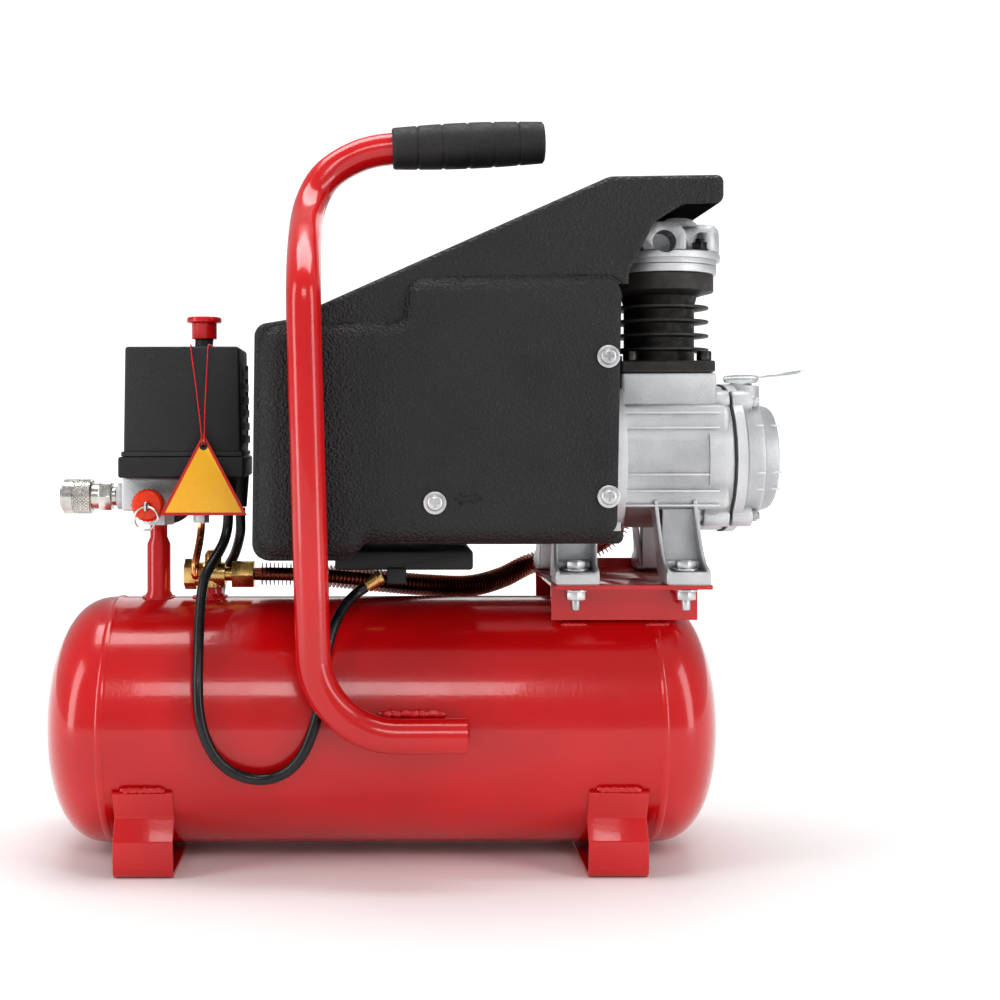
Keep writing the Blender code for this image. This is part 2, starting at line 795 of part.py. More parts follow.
def piston_and_rod():
    pin_z = AXIS_Z + THROW + ROD
    piston = rod("piston", (CYL_X, 0, pin_z), "Z", -12, PISTON_CROWN, BORE - 0.4, cast_aluminium(), 24)
    hollow = rod("piston_hollow", (CYL_X, 0, pin_z), "Z", -20, PISTON_CROWN - 4.5, BORE - 5.5, steel(), 20)
    pin_hole = rod("piston_pin_hole", (CYL_X, 0, pin_z), "X", -30, 30, 4.8, steel(), 16)
    cut(piston, hollow, pin_hole)
    rod("wrist_pin", (CYL_X, 0, pin_z), "X", -18.5, 18.5, 4.5, steel(), 16)
    small = rod("connecting_rod", (CYL_X, 0, pin_z), "X", -6, 6, 8.5, cast_aluminium(), 24)
    big = rod("rod_big_end", (CYL_X, 0, pin_z - ROD), "X", -6.5, 6.5, 13, cast_aluminium(), 24)
    beam = [(-5.5, pin_z - ROD + 8), (5.5, pin_z - ROD + 8), (4.2, pin_z - 5), (-4.2, pin_z - 5)]
    shank = prism("rod_shank", beam, "X", -3.5, 3.5, cast_aluminium(), (CYL_X, 0, 0))
    holes = [
        rod("rod_pin_hole", (CYL_X, 0, pin_z), "X", -10, 10, 4.8, steel(), 16),
        rod("rod_big_hole", (CYL_X, 0, pin_z - ROD), "X", -10, 10, 8, steel(), 20),
    ]
    cut(join(small, big, shank), *holes)


def crankshaft():
    """The motor shaft with its web; its pin ends just short of the connecting rod."""
    finish = steel()
    web = CYL_X - 19.0
    shaft = rod("crankshaft", (0, 0, AXIS_Z), "X", 12, web + 1, 8, finish, 24)
    disc = rod("crank_web", (0, 0, AXIS_Z), "X", web - 6, web + 6, 30, finish, 24)
    pin = rod("crank_pin", (0, 0, AXIS_Z + THROW), "X", web + 5, CYL_X - 6.5 - 0.5, 6, finish, 20)
    return join(shaft, disc, pin)


def motor():
    centre = (0, 0, AXIS_Z)
    grey = steel()
    ring("motor_stator", centre, "X", 62, 149.6, 62, 35, grey, 40)
    ring("motor_rotor", centre, "X", 70, 142, 34.2, 8.3, cast_aluminium(), 24)
    ring("bearing_crank", centre, "X", 162, 174, 16, 8.3, grey, 24)
    ring("bearing_fan", centre, "X", 44, 54, 16, 8.3, grey, 24)
    profile = [(42, 16.3), (42, 21), (53, 21), (54, 55), (48, 57), (48, 62)]
    profile += [(61.7, 62), (61.7, 58), (57, 56), (57, 16.3)]
    turned("motor_end_bell", profile, centre, "X", cast_aluminium(), 24)
    hub = ring("cooling_fan", centre, "X", 16, 36, 13, 8.3, black_plastic(), 24, 0.4)
    disc = ring("fan_disc", centre, "X", 30, 32.5, 52, 10, black_plastic(), 32, 0.3)
    blades = []
    for k in range(8):
        blade = box(f"fan_blade_{k}", (17, -1.2, AXIS_Z + 11), (31, 1.2, AXIS_Z + 50), black_plastic())
        blade.location = Vector((24, 0, AXIS_Z)) * MM
        blade.data.transform(Matrix.Translation(Vector((0, 0, 30.5)) * MM))
        blade.rotation_euler = (math.tau * k / 8, 0, 0)
        blades.append(blade)
    join(hub, disc, *blades)


def pump_bolt(name, x, y):
    """A hexagon bolt through pad and plate, with its nut, as one fastener."""
    finish = steel()
    top = PLATE_TOP + 9 + GAP
    bolt = rod(name, (x, y, 0), "Z", 175, top + 1, 3.2, finish, 12)
    washer = rod(f"{name}_washer", (x, y, 0), "Z", top, top + 1.6, 8.5, finish, 20, 0.3)
    head = rod(f"{name}_head", (x, y, 0), "Z", top + 1.2, top + 6.8, 7.5, finish, 6, 0.2)
    under = PLATE_TOP - 3 - GAP
    nut = rod(f"{name}_nut", (x, y, 0), "Z", under - 5.6, under, 7.5, finish, 6, 0.2)
    return join(bolt, washer, head, nut)


# ---------------------------------------------------------------- hood and electrical box


def rounded_outline(corners):
    """An outline of (X, Z, radius) corners as plain pairs, with its corners rounded."""
    lifted = [((x, 0.0, z), radius) for x, z, radius in corners]
    return [(p.x, p.z) for p in rounded(lifted, 3)]


def hood_inside():
    """The hollow under the roof: it follows the roof inside the wall and runs out at the bottom."""
    wall = HOOD_WALL
    return [
        (-79 + wall, 190),
        (-77 + wall, 368.5 - wall),
        (-58, 372 - wall),
        (-34 + 1, 382.5 - wall),
        (157 + 1, 467 - wall - 0.5),
        (233 - wall, 468 - wall),
        (233 - wall, 190),
    ]


def panel_inside():
    """The hollow inside the standing panels, open at the bottom and at the right."""
    wall = HOOD_WALL
    return [
        (-76 + wall, 200),
        (-75 + wall, 366 - wall),
        (20 + wall, 369 - wall),
        (24 + wall, 398 - wall),
        (190, 400 - wall),
        (190, 200),
    ]


def shroud():
    finish = black_plastic()
    hood = prism("shroud", rounded_outline(HOOD_OUTLINE), "Y", -HOOD_Y, HOOD_Y, finish, bevel=1.5)
    panel = prism("shroud_panel", rounded_outline(PANEL_OUTLINE), "Y", -PANEL_Y, PANEL_Y, finish, bevel=2.5)
    reach = HOOD_Y - HOOD_WALL
    hollow = prism("shroud_hollow", hood_inside(), "Y", -reach, reach, finish)
    reach = PANEL_Y - HOOD_WALL
    panel_hollow = prism("shroud_panel_hollow", panel_inside(), "Y", -reach, reach, finish)
    holes = [
        rod(f"shroud_screw_hole_{k}", (x, -PANEL_Y, z), "Y", -6, 10, 2.6, finish, 12)
        for k, (x, z) in enumerate(SHROUD_SCREWS)
    ]
    for k in range(7):
        z = 250 + 14 * k
        holes.append(box(f"shroud_vent_{k}", (-90, -55, z), (-70, 55, z + 6), finish))
    return cut(join(hood, panel), hollow, panel_hollow, *holes)


def shroud_screw(name, x, z):
    """A pan-head screw with its washer, through the hood's front wall."""
    front = PANEL_Y + GAP
    profile = [(front + 3.4, 0), (front + 3.4, 3), (front + 2.6, 5), (front + 1.2, 5.2)]
    profile += [(front + 1, 7.2), (front, 7.4)]
    profile += [(front, 2.2), (front - 12, 2.2), (front - 12, 0)]
    return turned(name, [(-a, r) for a, r in profile], (x, 0, z), "Y", steel(), 16)


def terminal_box():
    body = box("terminal_box", (-27, -47, 202), (68, 42, 215.5), black_plastic(), 2, 2)
    join(body, box("terminal_box_boss", (8.6, -48, 192), (22, -36, 204), black_plastic(), 1, 1))
    profile = [(0, 0), (0, 4.6), (9, 4.6), (9, 5.0), (12.5, 5.0), (12.5, 0)]
    gland = turned("lead_gland", profile, GLAND_MOUTH, "X", brass(), 16)
    gland.rotation_euler = (0, -math.radians(33), 0)


# ---------------------------------------------------------------- pressure switch and fittings


def pressure_switch():
    finish = black_plastic()
    left, right = SWITCH_X
    base = box("switch_base", (left - 3.5, -34, 265.3), (right + 2.5, 34, 280), finish, 1.2, 1)
    sleeve = [(GLAND_MOUTH_Z, 0), (GLAND_MOUTH_Z, 4.6), (GLAND_TOP, 6.4), (GLAND_TOP, 0)]
    glands = []
    for k, (x, y) in enumerate(SWITCH_GLANDS):
        glands.append(turned(f"switch_gland_{k}", sleeve, (x, y, 0), "Z", finish, 16))
    join(base, *glands)
    cover = box("switch_cover", (left, -32, 280.3), (right, 32, SWITCH_TOP), finish, 2, 2)
    inner_top = SWITCH_TOP - 2.5
    hollow = box("switch_cover_hollow", (left + 2.5, -29.5, 270), (right - 2.5, 29.5, inner_top), finish)
    collar = rod("switch_collar", (KNOB_X, 0, SWITCH_TOP), "Z", -1, 7, 6.6, finish, 24)
    stem = rod("switch_stem_hole", (KNOB_X, 0, SWITCH_TOP), "Z", -10, 20, 3.4, finish, 16)
    cut(join(cover, collar), hollow, stem)
    knob = [
        (-8, 0),
        (-8, 3),
        (13.5, 3),
        (13.5, 7.2),
        (7, 7.2),
        (7, 9),
        (18.2, 9),
        (18.8, 12.4),
        (22, 12.4),
        (22.6, 11.8),
        (22.6, 0),
    ]
    turned("switch_knob", knob, (KNOB_X, 0, SWITCH_TOP), "Z", red_plastic(), 20)


def manifold():
    finish = cast_aluminium()
    block = box("manifold", (-180, -12, 241), (-134, 12, 265), finish, 2, 2)
    bosses = [
        rod("manifold_boss_front", (-158, 0, 246), "Y", -16, 0, 9.5, finish, 20),
        rod("manifold_boss_rear", (-150, 0, 246), "Y", 0, 17, 8, finish, 20),
        rod("manifold_boss_left", (0, 0, PORT_Z), "X", -184, -170, 9.5, finish, 20),
        box("manifold_arm", (-140, -7, 247), (-119, 7, 265), finish, 1, 1),
    ]
    hole = rod("manifold_riser_hole", (RISER_X, 0, 0), "Z", 225, 250, 4, finish, 12)
    bosses.append(rod("manifold_unloader_nut", (-124.5, 0, 0), "Z", 232, 250, 5.8, finish, 6))
    bosses.append(rod("manifold_riser_nut", (RISER_X, 0, 0), "Z", 230.8, 243, 11, finish, 6))
    cut(join(block, *bosses), hole)
    riser = [(178.9, 4), (178.9, 10.5), (183, 8.4), (217, 8.4), (222, 6.2), (230.4, 6.2), (230.4, 4)]
    turned("riser_pipe", riser, (RISER_X, 0, 0), "Z", red_enamel(), 24)


def safety_valve():
    centre = (-158, 0, 246)
    body = [(-16.3, 0), (-16.3, 7.5), (-25, 7.5), (-25, 10), (-27, 11.3)]
    body += [(-32, 11.3), (-34.5, 9.5), (-34.5, 2.3)]
    body += [(-25.5, 2.3), (-25.5, 0)]
    turned("safety_valve_body", body, centre, "Y", orange_anodised(), 20)
    stem = rod("safety_valve_stem", centre, "Y", -36, -26.5, 1.9, steel(), 16)
    eye = box("safety_valve_eye", (-159.2, -42, 242), (-156.8, -35, 249), steel(), 0.8, 1)
    hole = rod("safety_valve_eye_hole", (-158, -38.5, 245.5), "X", -5, 5, 1.7, steel(), 16)
    cut(join(stem, eye), hole)
    wire = 0.8
    radius = 8.2
    loop = [(radius * math.cos(math.tau * k / 28), radius * math.sin(math.tau * k / 28)) for k in range(24)]
    bm = bmesh.new()
    rings = []
    for k, (x, z) in enumerate(loop):
        outward = Vector((x, 0, z)).normalized()
        spot = Vector((x, 0, z - radius))
        rings.append(
            [
                bm.verts.new(spot + wire * (math.cos(a) * outward + math.sin(a) * Vector((0, 1, 0))))
                for a in (math.tau * j / 8 for j in range(8))
            ]
        )
    for low, high in zip(rings, rings[1:] + rings[:1]):
        for j in range(8):
            bm.faces.new((low[j], low[(j + 1) % 8], high[(j + 1) % 8], high[j]))
    from_bmesh("pull_ring", bm, steel(), (-158, -38.5, 245.5))


def quick_coupler():
    centre = (0, 0, PORT_Z)
    body = [
        (-184.3, 0),
        (-184.3, 7),
        (-188, 7),
        (-188, 11.2),
        (-197, 11.2),
        (-197, 9.5),
        (-224.5, 9.5),
        (-224.5, 5.2),
        (-204, 5.2),
        (-204, 0),
    ]
    turned("coupler_body", body, centre, "X", steel(), 20)
    sleeve = [(-223, 9.8), (-223, 11.5), (-222, 12.5), (-203, 12.5), (-202, 11.5), (-202, 9.8)]
    turned("coupler_sleeve", sleeve, centre, "X", steel(), 20)


def gauge():
    centre = (-150, 0, 246)
    case = [(17.3, 0), (17.3, 6), (20, 6), (20, 16), (34, 16), (34, 14.6), (24, 14.6), (24, 0)]
    turned("gauge_case", case, centre, "Y", black_plastic(), 32)
    needle = box("gauge_needle", (-150.7, 27, 243), (-149.3, 28, 257), red_plastic())
    needle.data.transform(Matrix.Translation(Vector((0, 0, 4)) * MM))
    needle.location = Vector((-150, 27.5, 246)) * MM
    needle.rotation_euler = (0, math.radians(135), 0)
    hub = rod("gauge_needle_hub", centre, "Y", 25, 29, 2, red_plastic(), 12)
    join(needle, hub)


def check_valve():
    """The non-return valve on its welded bung, with a plug, a capped top and the delivery pipe's nut."""
    finish = brass()
    bung = [(178.9, 5), (178.9, 11.5), (181.5, 9.3), (185.5, 9.3), (185.5, 5)]
    turned("valve_bung", bung, (VALVE_X, 0, 0), "Z", red_enamel(), 24)
    stub = rod("check_valve_body", (VALVE_X, 0, 0), "Z", 185.8, 203, 7.5, finish, 24)
    cross = rod("check_valve_cross", (0, 0, VALVE_Z), "X", -129, -107, 8.6, finish, 24)
    neck = rod("check_valve_neck", (0, 0, VALVE_Z), "X", -110, -102.3, 5, finish, 20)
    nipple = rod("check_valve_nipple", (-126.5, 0, VALVE_Z), "Y", -12.5, 0, 4.2, finish, 16)
    plug = rod("check_valve_end", (0, 0, VALVE_Z), "X", -136, -128, 11.0, finish, 6, 0.0)
    top = [(200, 0), (200, 6), (209, 6), (212, 4), (213, 0)]
    cap = turned("check_valve_cap", top, (VALVE_X + 2, 0, 0), "Z", black_plastic(), 20)
    join(stub, cross, neck, nipple, plug, cap)
    hexagon("discharge_nut", (0, 0, VALVE_Z), "X", -102, -86.3, 18, 4.6, finish)


def fittings():
    tube("unloader_tube", smooth_route(UNLOADER_ROUTE, 3.5), 2.8, copper())
    tube("discharge_tube", smooth_route(DISCHARGE_ROUTE, 14), 8.2, copper())


# ---------------------------------------------------------------- cords and the tag


def cords():
    tube("motor_lead", smooth_route(MOTOR_ROUTE, 10), MOTOR_LEAD_D / 2, black_pvc())
    tube("mains_lead", smooth_route(MAINS_ROUTE, 10), MAINS_D / 2, black_pvc())
    tube("mains_tail", smooth_route(TAIL_ROUTE, 8), MAINS_D / 2, black_pvc())
    tube("tag_string", smooth_route(STRING_ROUTE, 3.0), STRING_D / 2, red_plastic())
    x, y = COIL_CENTRE
    inner = COIL_R - COIL_HALF_WIDTH
    outer = COIL_R + COIL_HALF_WIDTH
    soft = 3.0
    section = [(GAP, inner + soft), (GAP, outer - soft), (GAP + soft, outer), (COIL_HEIGHT - soft, outer)]
    section += [(COIL_HEIGHT, outer - soft), (COIL_HEIGHT, inner + soft), (COIL_HEIGHT - soft, inner)]
    section += [(GAP + soft, inner)]
    turned("mains_coil", section, (x, y, 0), "Z", black_pvc(), 28)
    mains_plug()


def mains_plug():
    """A moulded plug on the floor, with a tapered strain relief, two flat blades and a round pin."""
    finish = black_pvc()
    x, y, z = TAIL_ROUTE[-1]
    profile = [(-GAP, 0), (-GAP, 4.6), (-24, 6.2), (-27, 9.5), (-33, 11.8)]
    profile += [(-54, 11.8), (-56, 10.8), (-56, 0)]
    plug = turned("mains_plug", profile, (x, y, z), "Y", finish, 24)
    front = y - 55
    pins = []
    for k, side in enumerate((x - 6.3, x + 6.3)):
        low = (side - 0.8, front - 17, z - 3.2)
        pins.append(box(f"plug_blade_{k}", low, (side + 0.8, front, z + 3.2), brass()))
    pins.append(rod("plug_pin", (x, front, z + 7.5), "Y", -19, 0, 2.4, brass(), 12))
    return join(plug, *pins)


def warning_tag():
    """A blank triangular card that swings about its hole."""
    outline = [(0, 9), (30, -48), (-30, -48)]
    card = prism("warning_tag", outline, "Y", -0.4, 0.4, yellow_card(), TAG_HOLE)
    hole = rod("tag_hole", TAG_HOLE, "Y", -5, 5, 1.6, yellow_card(), 12)
    cut(card, hole)


def compressor():
    clear_scene()
    carrier = bpy.data.objects.new("compressor", None)
    carrier.location = (SHIFT_X * MM, SHIFT_Y * MM, 0.0)
    bpy.context.scene.collection.objects.link(carrier)
    tank_shell()
    for name, centre in FOOT_CENTRES.items():
        foot_strap(name, centre)
    drain_cock()
    handle()
    pump_bracket()
    crankcase()
    crankcase_cover()
    oil_plug()
    cylinder()
    cylinder_head()
    piston_and_rod()
    crankshaft()
    motor()
    for k, x in enumerate(BOLT_XS):
        pump_bolt(f"pump_bolt_{k + 1}", x, -BOLT_Y)
    shroud()
    for k, (x, z) in enumerate(SHROUD_SCREWS):
        shroud_screw(f"shroud_screw_{k + 1}", x, z)
    terminal_box()
    pressure_switch()
    manifold()
    safety_valve()
    quick_coupler()
    gauge()
    check_valve()
    fittings()
    cords()
    warning_tag()


compressor()
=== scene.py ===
import math

import bmesh
import bpy
from mathutils import Matrix, Vector
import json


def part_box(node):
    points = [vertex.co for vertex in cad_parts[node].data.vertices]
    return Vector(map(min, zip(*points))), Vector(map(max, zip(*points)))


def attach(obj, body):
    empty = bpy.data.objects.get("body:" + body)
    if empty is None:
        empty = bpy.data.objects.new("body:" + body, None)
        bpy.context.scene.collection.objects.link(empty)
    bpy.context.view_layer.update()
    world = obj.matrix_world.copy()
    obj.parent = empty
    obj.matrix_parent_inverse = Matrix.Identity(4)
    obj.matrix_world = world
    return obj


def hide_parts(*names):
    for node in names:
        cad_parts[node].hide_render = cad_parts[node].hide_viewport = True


# %% [markdown]
# # A portable air compressor
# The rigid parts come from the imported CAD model, which stays where it is. Here each of its nodes gets a real
# finish, the round and rounded ones are rebuilt finely enough to look smooth, and small parts that the CAD
# leaves out are added: weld beads, fins, ribs, studs, a dial and the wound mains lead.

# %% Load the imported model
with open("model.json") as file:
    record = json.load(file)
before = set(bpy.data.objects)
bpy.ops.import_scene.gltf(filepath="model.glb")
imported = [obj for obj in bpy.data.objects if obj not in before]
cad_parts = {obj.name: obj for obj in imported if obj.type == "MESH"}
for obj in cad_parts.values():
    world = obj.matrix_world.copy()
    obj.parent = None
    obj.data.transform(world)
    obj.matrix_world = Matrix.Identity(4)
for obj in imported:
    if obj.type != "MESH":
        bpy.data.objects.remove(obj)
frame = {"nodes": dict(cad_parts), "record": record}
for old in [o for o in bpy.data.objects if o.type in {"CAMERA", "LIGHT"}]:
    bpy.data.objects.remove(old, do_unlink=True)
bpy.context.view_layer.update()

# %% [markdown]
# ## Where things are
# The tank lies along X. A second origin, on the floor under the tank's axis and 205 mm to the left of the
# cylinder, makes every other number short: `at()` turns millimetres from it into metres in the shared frame.

# %% Places that come from the frame
MM = 0.001
plate_low, plate_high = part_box("valve_plate")
TANK_X = (plate_low[0] + plate_high[0]) / 2 - 0.205
TANK_Y = (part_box("foot_strap_left")[0][1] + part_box("foot_strap_left")[1][1]) / 2


def at(x, y, z):
    """A place in millimetres from the second origin, as a vector in metres."""
    return Vector((TANK_X + x * MM, TANK_Y + y * MM, z * MM))


print("second origin:", round(TANK_X, 5), round(TANK_Y, 5))

# %% [markdown]
# ## Camera
# A long lens, set level and almost square to the tank, keeps the upright parts upright. The shift moves the
# picture without tilting the lens, as a view camera's rising front does.

# %% Camera
camera_data = bpy.data.cameras.new("camera")
camera_data.sensor_width = 36.0
camera_data.lens = 51.5
camera_data.shift_x = 0.126
camera_data.shift_y = -0.068
camera = bpy.data.objects.new("camera", camera_data)
camera.location = at(0, -1030, 297)
camera.rotation_euler = (math.radians(90), math.radians(0.1), 0)
bpy.context.scene.collection.objects.link(camera)
bpy.context.scene.camera = camera
print("camera at", tuple(round(v, 3) for v in camera.location))

# %% [markdown]
# ## Colours and finishes
# Each finish is a small function that builds nodes.


# %% Helpers for materials
def finish(name, colour, roughness, metallic=0.0):
    """A new material with its shader; constant values sit on the shader's own sockets."""
    made = bpy.data.materials.new(name)
    made.use_nodes = True
    tree = made.node_tree
    shader = tree.nodes["Principled BSDF"]
    shader.inputs["Base Color"].default_value = (*colour, 1.0)
    shader.inputs["Roughness"].default_value = roughness
    shader.inputs["Metallic"].default_value = metallic
    return made, tree, shader


def grain(tree, scale, detail=3.0, kind="noise", stretch=(1, 1, 1)):
    """A pattern on Object coordinates; scale counts features in a metre."""
    place = tree.nodes.new("ShaderNodeTexCoord")
    mapping = tree.nodes.new("ShaderNodeMapping")
    mapping.inputs["Scale"].default_value = stretch
    tree.links.new(place.outputs["Object"], mapping.inputs["Vector"])
    if kind == "cells":
        pattern = tree.nodes.new("ShaderNodeTexVoronoi")
    else:
        pattern = tree.nodes.new("ShaderNodeTexNoise")
        pattern.inputs["Detail"].default_value = detail
    pattern.inputs["Scale"].default_value = scale
    tree.links.new(mapping.outputs["Vector"], pattern.inputs["Vector"])
    return pattern.outputs["Distance" if kind == "cells" else "Fac"]


def relief(tree, shader, height, strength, depth):
    """Adds a bump of the pattern, on top of any that the shader has already."""
    bump = tree.nodes.new("ShaderNodeBump")
    bump.inputs["Strength"].default_value = strength
    bump.inputs["Distance"].default_value = depth
    tree.links.new(height, bump.inputs["Height"])
    before = shader.inputs["Normal"].links
    if before:
        tree.links.new(before[0].from_socket, bump.inputs["Normal"])
    tree.links.new(bump.outputs["Normal"], shader.inputs["Normal"])


def spread(tree, value, low, high, start=0.3, end=0.7):
    """Turns a 0 to 1 pattern into a number between low and high."""
    ramp = tree.nodes.new("ShaderNodeMapRange")
    ramp.inputs["From Min"].default_value = start
    ramp.inputs["From Max"].default_value = end
    ramp.inputs["To Min"].default_value = low
    ramp.inputs["To Max"].default_value = high
    tree.links.new(value, ramp.inputs["Value"])
    return ramp.outputs["Result"]


def tint(tree, value, dark, light, start=0.3, end=0.7):
    """Turns a 0 to 1 pattern into a colour between two others."""
    ramp = tree.nodes.new("ShaderNodeValToRGB")
    ramp.color_ramp.elements[0].position = start
    ramp.color_ramp.elements[0].color = (*dark, 1.0)
    ramp.color_ramp.elements[1].position = end
    ramp.color_ramp.elements[1].color = (*light, 1.0)
    tree.links.new(value, ramp.inputs["Fac"])
    return ramp.outputs["Color"]


def painted_edge_highlight(tree, shader, base, bright, sharpness=(0.52, 0.62)):
    """Paints a highlight on the convex edges, lightening them by the surface's own pointiness."""
    geometry = tree.nodes.new("ShaderNodeNewGeometry")
    edge = spread(tree, geometry.outputs["Pointiness"], 0.0, 1.0, *sharpness)
    mix = tree.nodes.new("ShaderNodeMix")
    mix.data_type = "RGBA"
    tree.links.new(edge, mix.inputs["Factor"])
    tree.links.new(base, mix.inputs[6])
    mix.inputs[7].default_value = (*bright, 1.0)
    tree.links.new(mix.outputs[2], shader.inputs["Base Color"])


# %% [markdown]
# ### Red enamel
# Sprayed enamel is glossy and very slightly rippled, which painters call orange peel. A weak, wide bump
# gives the ripple, a clear coat gives the sharp reflection, and a slow noise keeps the red from being one
# flat tone.


# %% Red enamel
def make_red_enamel():
    made, tree, shader = finish("red enamel", (0.55, 0.006, 0.008), 0.25)
    slow = grain(tree, 9.0, 2.0)
    colour = tint(tree, slow, (0.47, 0.004, 0.006), (0.60, 0.006, 0.009))
    tree.links.new(colour, shader.inputs["Base Color"])
    tree.links.new(spread(tree, grain(tree, 60.0), 0.16, 0.26), shader.inputs["Roughness"])
    relief(tree, shader, grain(tree, 420.0, 1.0), 0.12, 0.0006)
    shader.inputs["Coat Weight"].default_value = 0.5
    shader.inputs["Coat Roughness"].default_value = 0.05
    return made


RED_ENAMEL = make_red_enamel()
print("made", RED_ENAMEL.name)

# %% [markdown]
# ### Black plastics
# The hood is moulded in a mould etched with a leather grain, the switch and the fan in a finer one. Cells
# of a Voronoi pattern make the pebbles, and a little noise breaks up their sheen.


# %% Grained and fine black plastic
def make_black_plastic(name, cells, depth, low, high):
    made, tree, shader = finish(name, (0.011, 0.011, 0.012), 0.5)
    relief(tree, shader, grain(tree, cells, kind="cells"), 0.9, depth)
    relief(tree, shader, grain(tree, cells * 1.7, 3.0), 0.5, depth * 0.8)
    tree.links.new(spread(tree, grain(tree, 45.0), low, high), shader.inputs["Roughness"])
    base = tint(tree, grain(tree, 14.0), (0.008, 0.008, 0.0085), (0.015, 0.015, 0.016))
    # painted highlight: the convex edges are lightened by pointiness
    painted_edge_highlight(tree, shader, base, (0.03, 0.03, 0.032))
    shader.inputs["Specular IOR Level"].default_value = 0.45
    return made


GRAINED_PLASTIC = make_black_plastic("grained black plastic", 520.0, 0.0009, 0.36, 0.5)
FINE_PLASTIC = make_black_plastic("fine black plastic", 1500.0, 0.00018, 0.38, 0.5)
print("made", GRAINED_PLASTIC.name, "and", FINE_PLASTIC.name)

# %% [markdown]
# ### Die-cast aluminium
# Castings come out of the die with a skin that is blasted to a fine, dull sparkle. Two scales of noise bump
# do it, and a painted highlight lightens the convex edges.


# %% Cast aluminium
def make_cast_aluminium():
    made, tree, shader = finish("cast aluminium", (0.6, 0.61, 0.63), 0.5, 0.9)
    cloudy = grain(tree, 38.0, 4.0)
    base = tint(tree, cloudy, (0.40, 0.405, 0.415), (0.54, 0.545, 0.555))
    # painted highlight: the convex edges are lightened by pointiness
    painted_edge_highlight(tree, shader, base, (0.74, 0.745, 0.76), (0.51, 0.6))
    tree.links.new(spread(tree, grain(tree, 900.0, 2.0), 0.36, 0.58), shader.inputs["Roughness"])
    relief(tree, shader, grain(tree, 1100.0, 3.0), 0.6, 0.0005)
    relief(tree, shader, grain(tree, 120.0, 3.0), 0.2, 0.0006)
    return made


CAST_ALUMINIUM = make_cast_aluminium()


# %% Black painted casting
def make_cast_iron():
    made, tree, shader = finish("black painted casting", (0.02, 0.018, 0.016), 0.55, 0.2)
    base = tint(tree, grain(tree, 55.0, 5.0), (0.008, 0.007, 0.007), (0.035, 0.031, 0.028))
    # painted highlight: the convex edges are lightened by pointiness
    painted_edge_highlight(tree, shader, base, (0.11, 0.10, 0.09), (0.53, 0.66))
    tree.links.new(spread(tree, grain(tree, 260.0, 3.0), 0.38, 0.68), shader.inputs["Roughness"])
    relief(tree, shader, grain(tree, 700.0, 4.0), 0.5, 0.0006)
    return made


CAST_IRON = make_cast_iron()
print("made", CAST_ALUMINIUM.name, "and", CAST_IRON.name)

# %% [markdown]
# ### Plated steel, brass and copper
# Turned metal carries fine marks round the tool's path. Stretching a noise along one axis gives those marks
# without any picture, and the roughness varies with them.


# %% Machined metals
def make_metal(name, dark, light, low, high, marks=500.0, stretch=(1, 1, 1), depth=0.00006):
    made, tree, shader = finish(name, light, low, 1.0)
    scratch = grain(tree, marks, 3.0, stretch=stretch)
    tree.links.new(tint(tree, grain(tree, 70.0, 3.0), dark, light), shader.inputs["Base Color"])
    tree.links.new(spread(tree, scratch, low, high), shader.inputs["Roughness"])
    relief(tree, shader, scratch, 0.25, depth)
    return made


PLATED_STEEL = make_metal("nickel plated steel", (0.5, 0.49, 0.46), (0.78, 0.76, 0.72), 0.14, 0.3)
ZINC_STEEL = make_metal("zinc plated steel", (0.42, 0.42, 0.43), (0.66, 0.66, 0.67), 0.28, 0.46)
BARE_STEEL = make_metal("ground steel", (0.35, 0.34, 0.33), (0.6, 0.59, 0.58), 0.2, 0.38, stretch=(1, 8, 8))
DARK_STEEL = make_metal("oiled dark steel", (0.03, 0.03, 0.032), (0.09, 0.088, 0.085), 0.3, 0.45)
BRASS = make_metal("turned brass", (0.45, 0.27, 0.08), (0.78, 0.55, 0.23), 0.2, 0.36, stretch=(9, 1, 1))
COPPER = make_metal("drawn copper", (0.62, 0.2, 0.07), (0.93, 0.42, 0.2), 0.16, 0.3)
DARK_COPPER = make_metal("heat-darkened copper", (0.13, 0.035, 0.022), (0.34, 0.10, 0.06), 0.25, 0.45)
print("made seven machined metals")

# %% [markdown]
# ### Rubber, cable sheath and clear or coloured mouldings
# Rubber is dull with a trace of dust. A cable's sheath is soft and shiny. The clear filler plug lets light
# through, which is the shader's transmission.


# %% Soft and moulded finishes
def make_rubber():
    made, tree, shader = finish("black rubber", (0.018, 0.016, 0.015), 0.62)
    base = tint(tree, grain(tree, 30.0, 4.0), (0.011, 0.010, 0.010), (0.026, 0.024, 0.023))
    # painted highlight: the convex edges are lightened by pointiness
    painted_edge_highlight(tree, shader, base, (0.05, 0.048, 0.046))
    tree.links.new(spread(tree, grain(tree, 300.0), 0.52, 0.72), shader.inputs["Roughness"])
    relief(tree, shader, grain(tree, 1100.0, 3.0), 0.35, 0.0002)
    return made


def make_sheath():
    made, tree, shader = finish("black cable sheath", (0.010, 0.010, 0.011), 0.3)
    tree.links.new(spread(tree, grain(tree, 160.0), 0.2, 0.34), shader.inputs["Roughness"])
    colour = tint(tree, grain(tree, 25.0), (0.007, 0.007, 0.008), (0.014, 0.014, 0.015))
    tree.links.new(colour, shader.inputs["Base Color"])
    relief(tree, shader, grain(tree, 500.0, 2.0), 0.12, 0.0002)
    return made


def make_moulding(name, dark, light, low, high, clear=0.0):
    made, tree, shader = finish(name, light, low)
    tree.links.new(tint(tree, grain(tree, 20.0), dark, light), shader.inputs["Base Color"])
    tree.links.new(spread(tree, grain(tree, 180.0), low, high), shader.inputs["Roughness"])
    relief(tree, shader, grain(tree, 900.0, 2.0), 0.08, 0.0002)
    shader.inputs["Transmission Weight"].default_value = clear
    return made


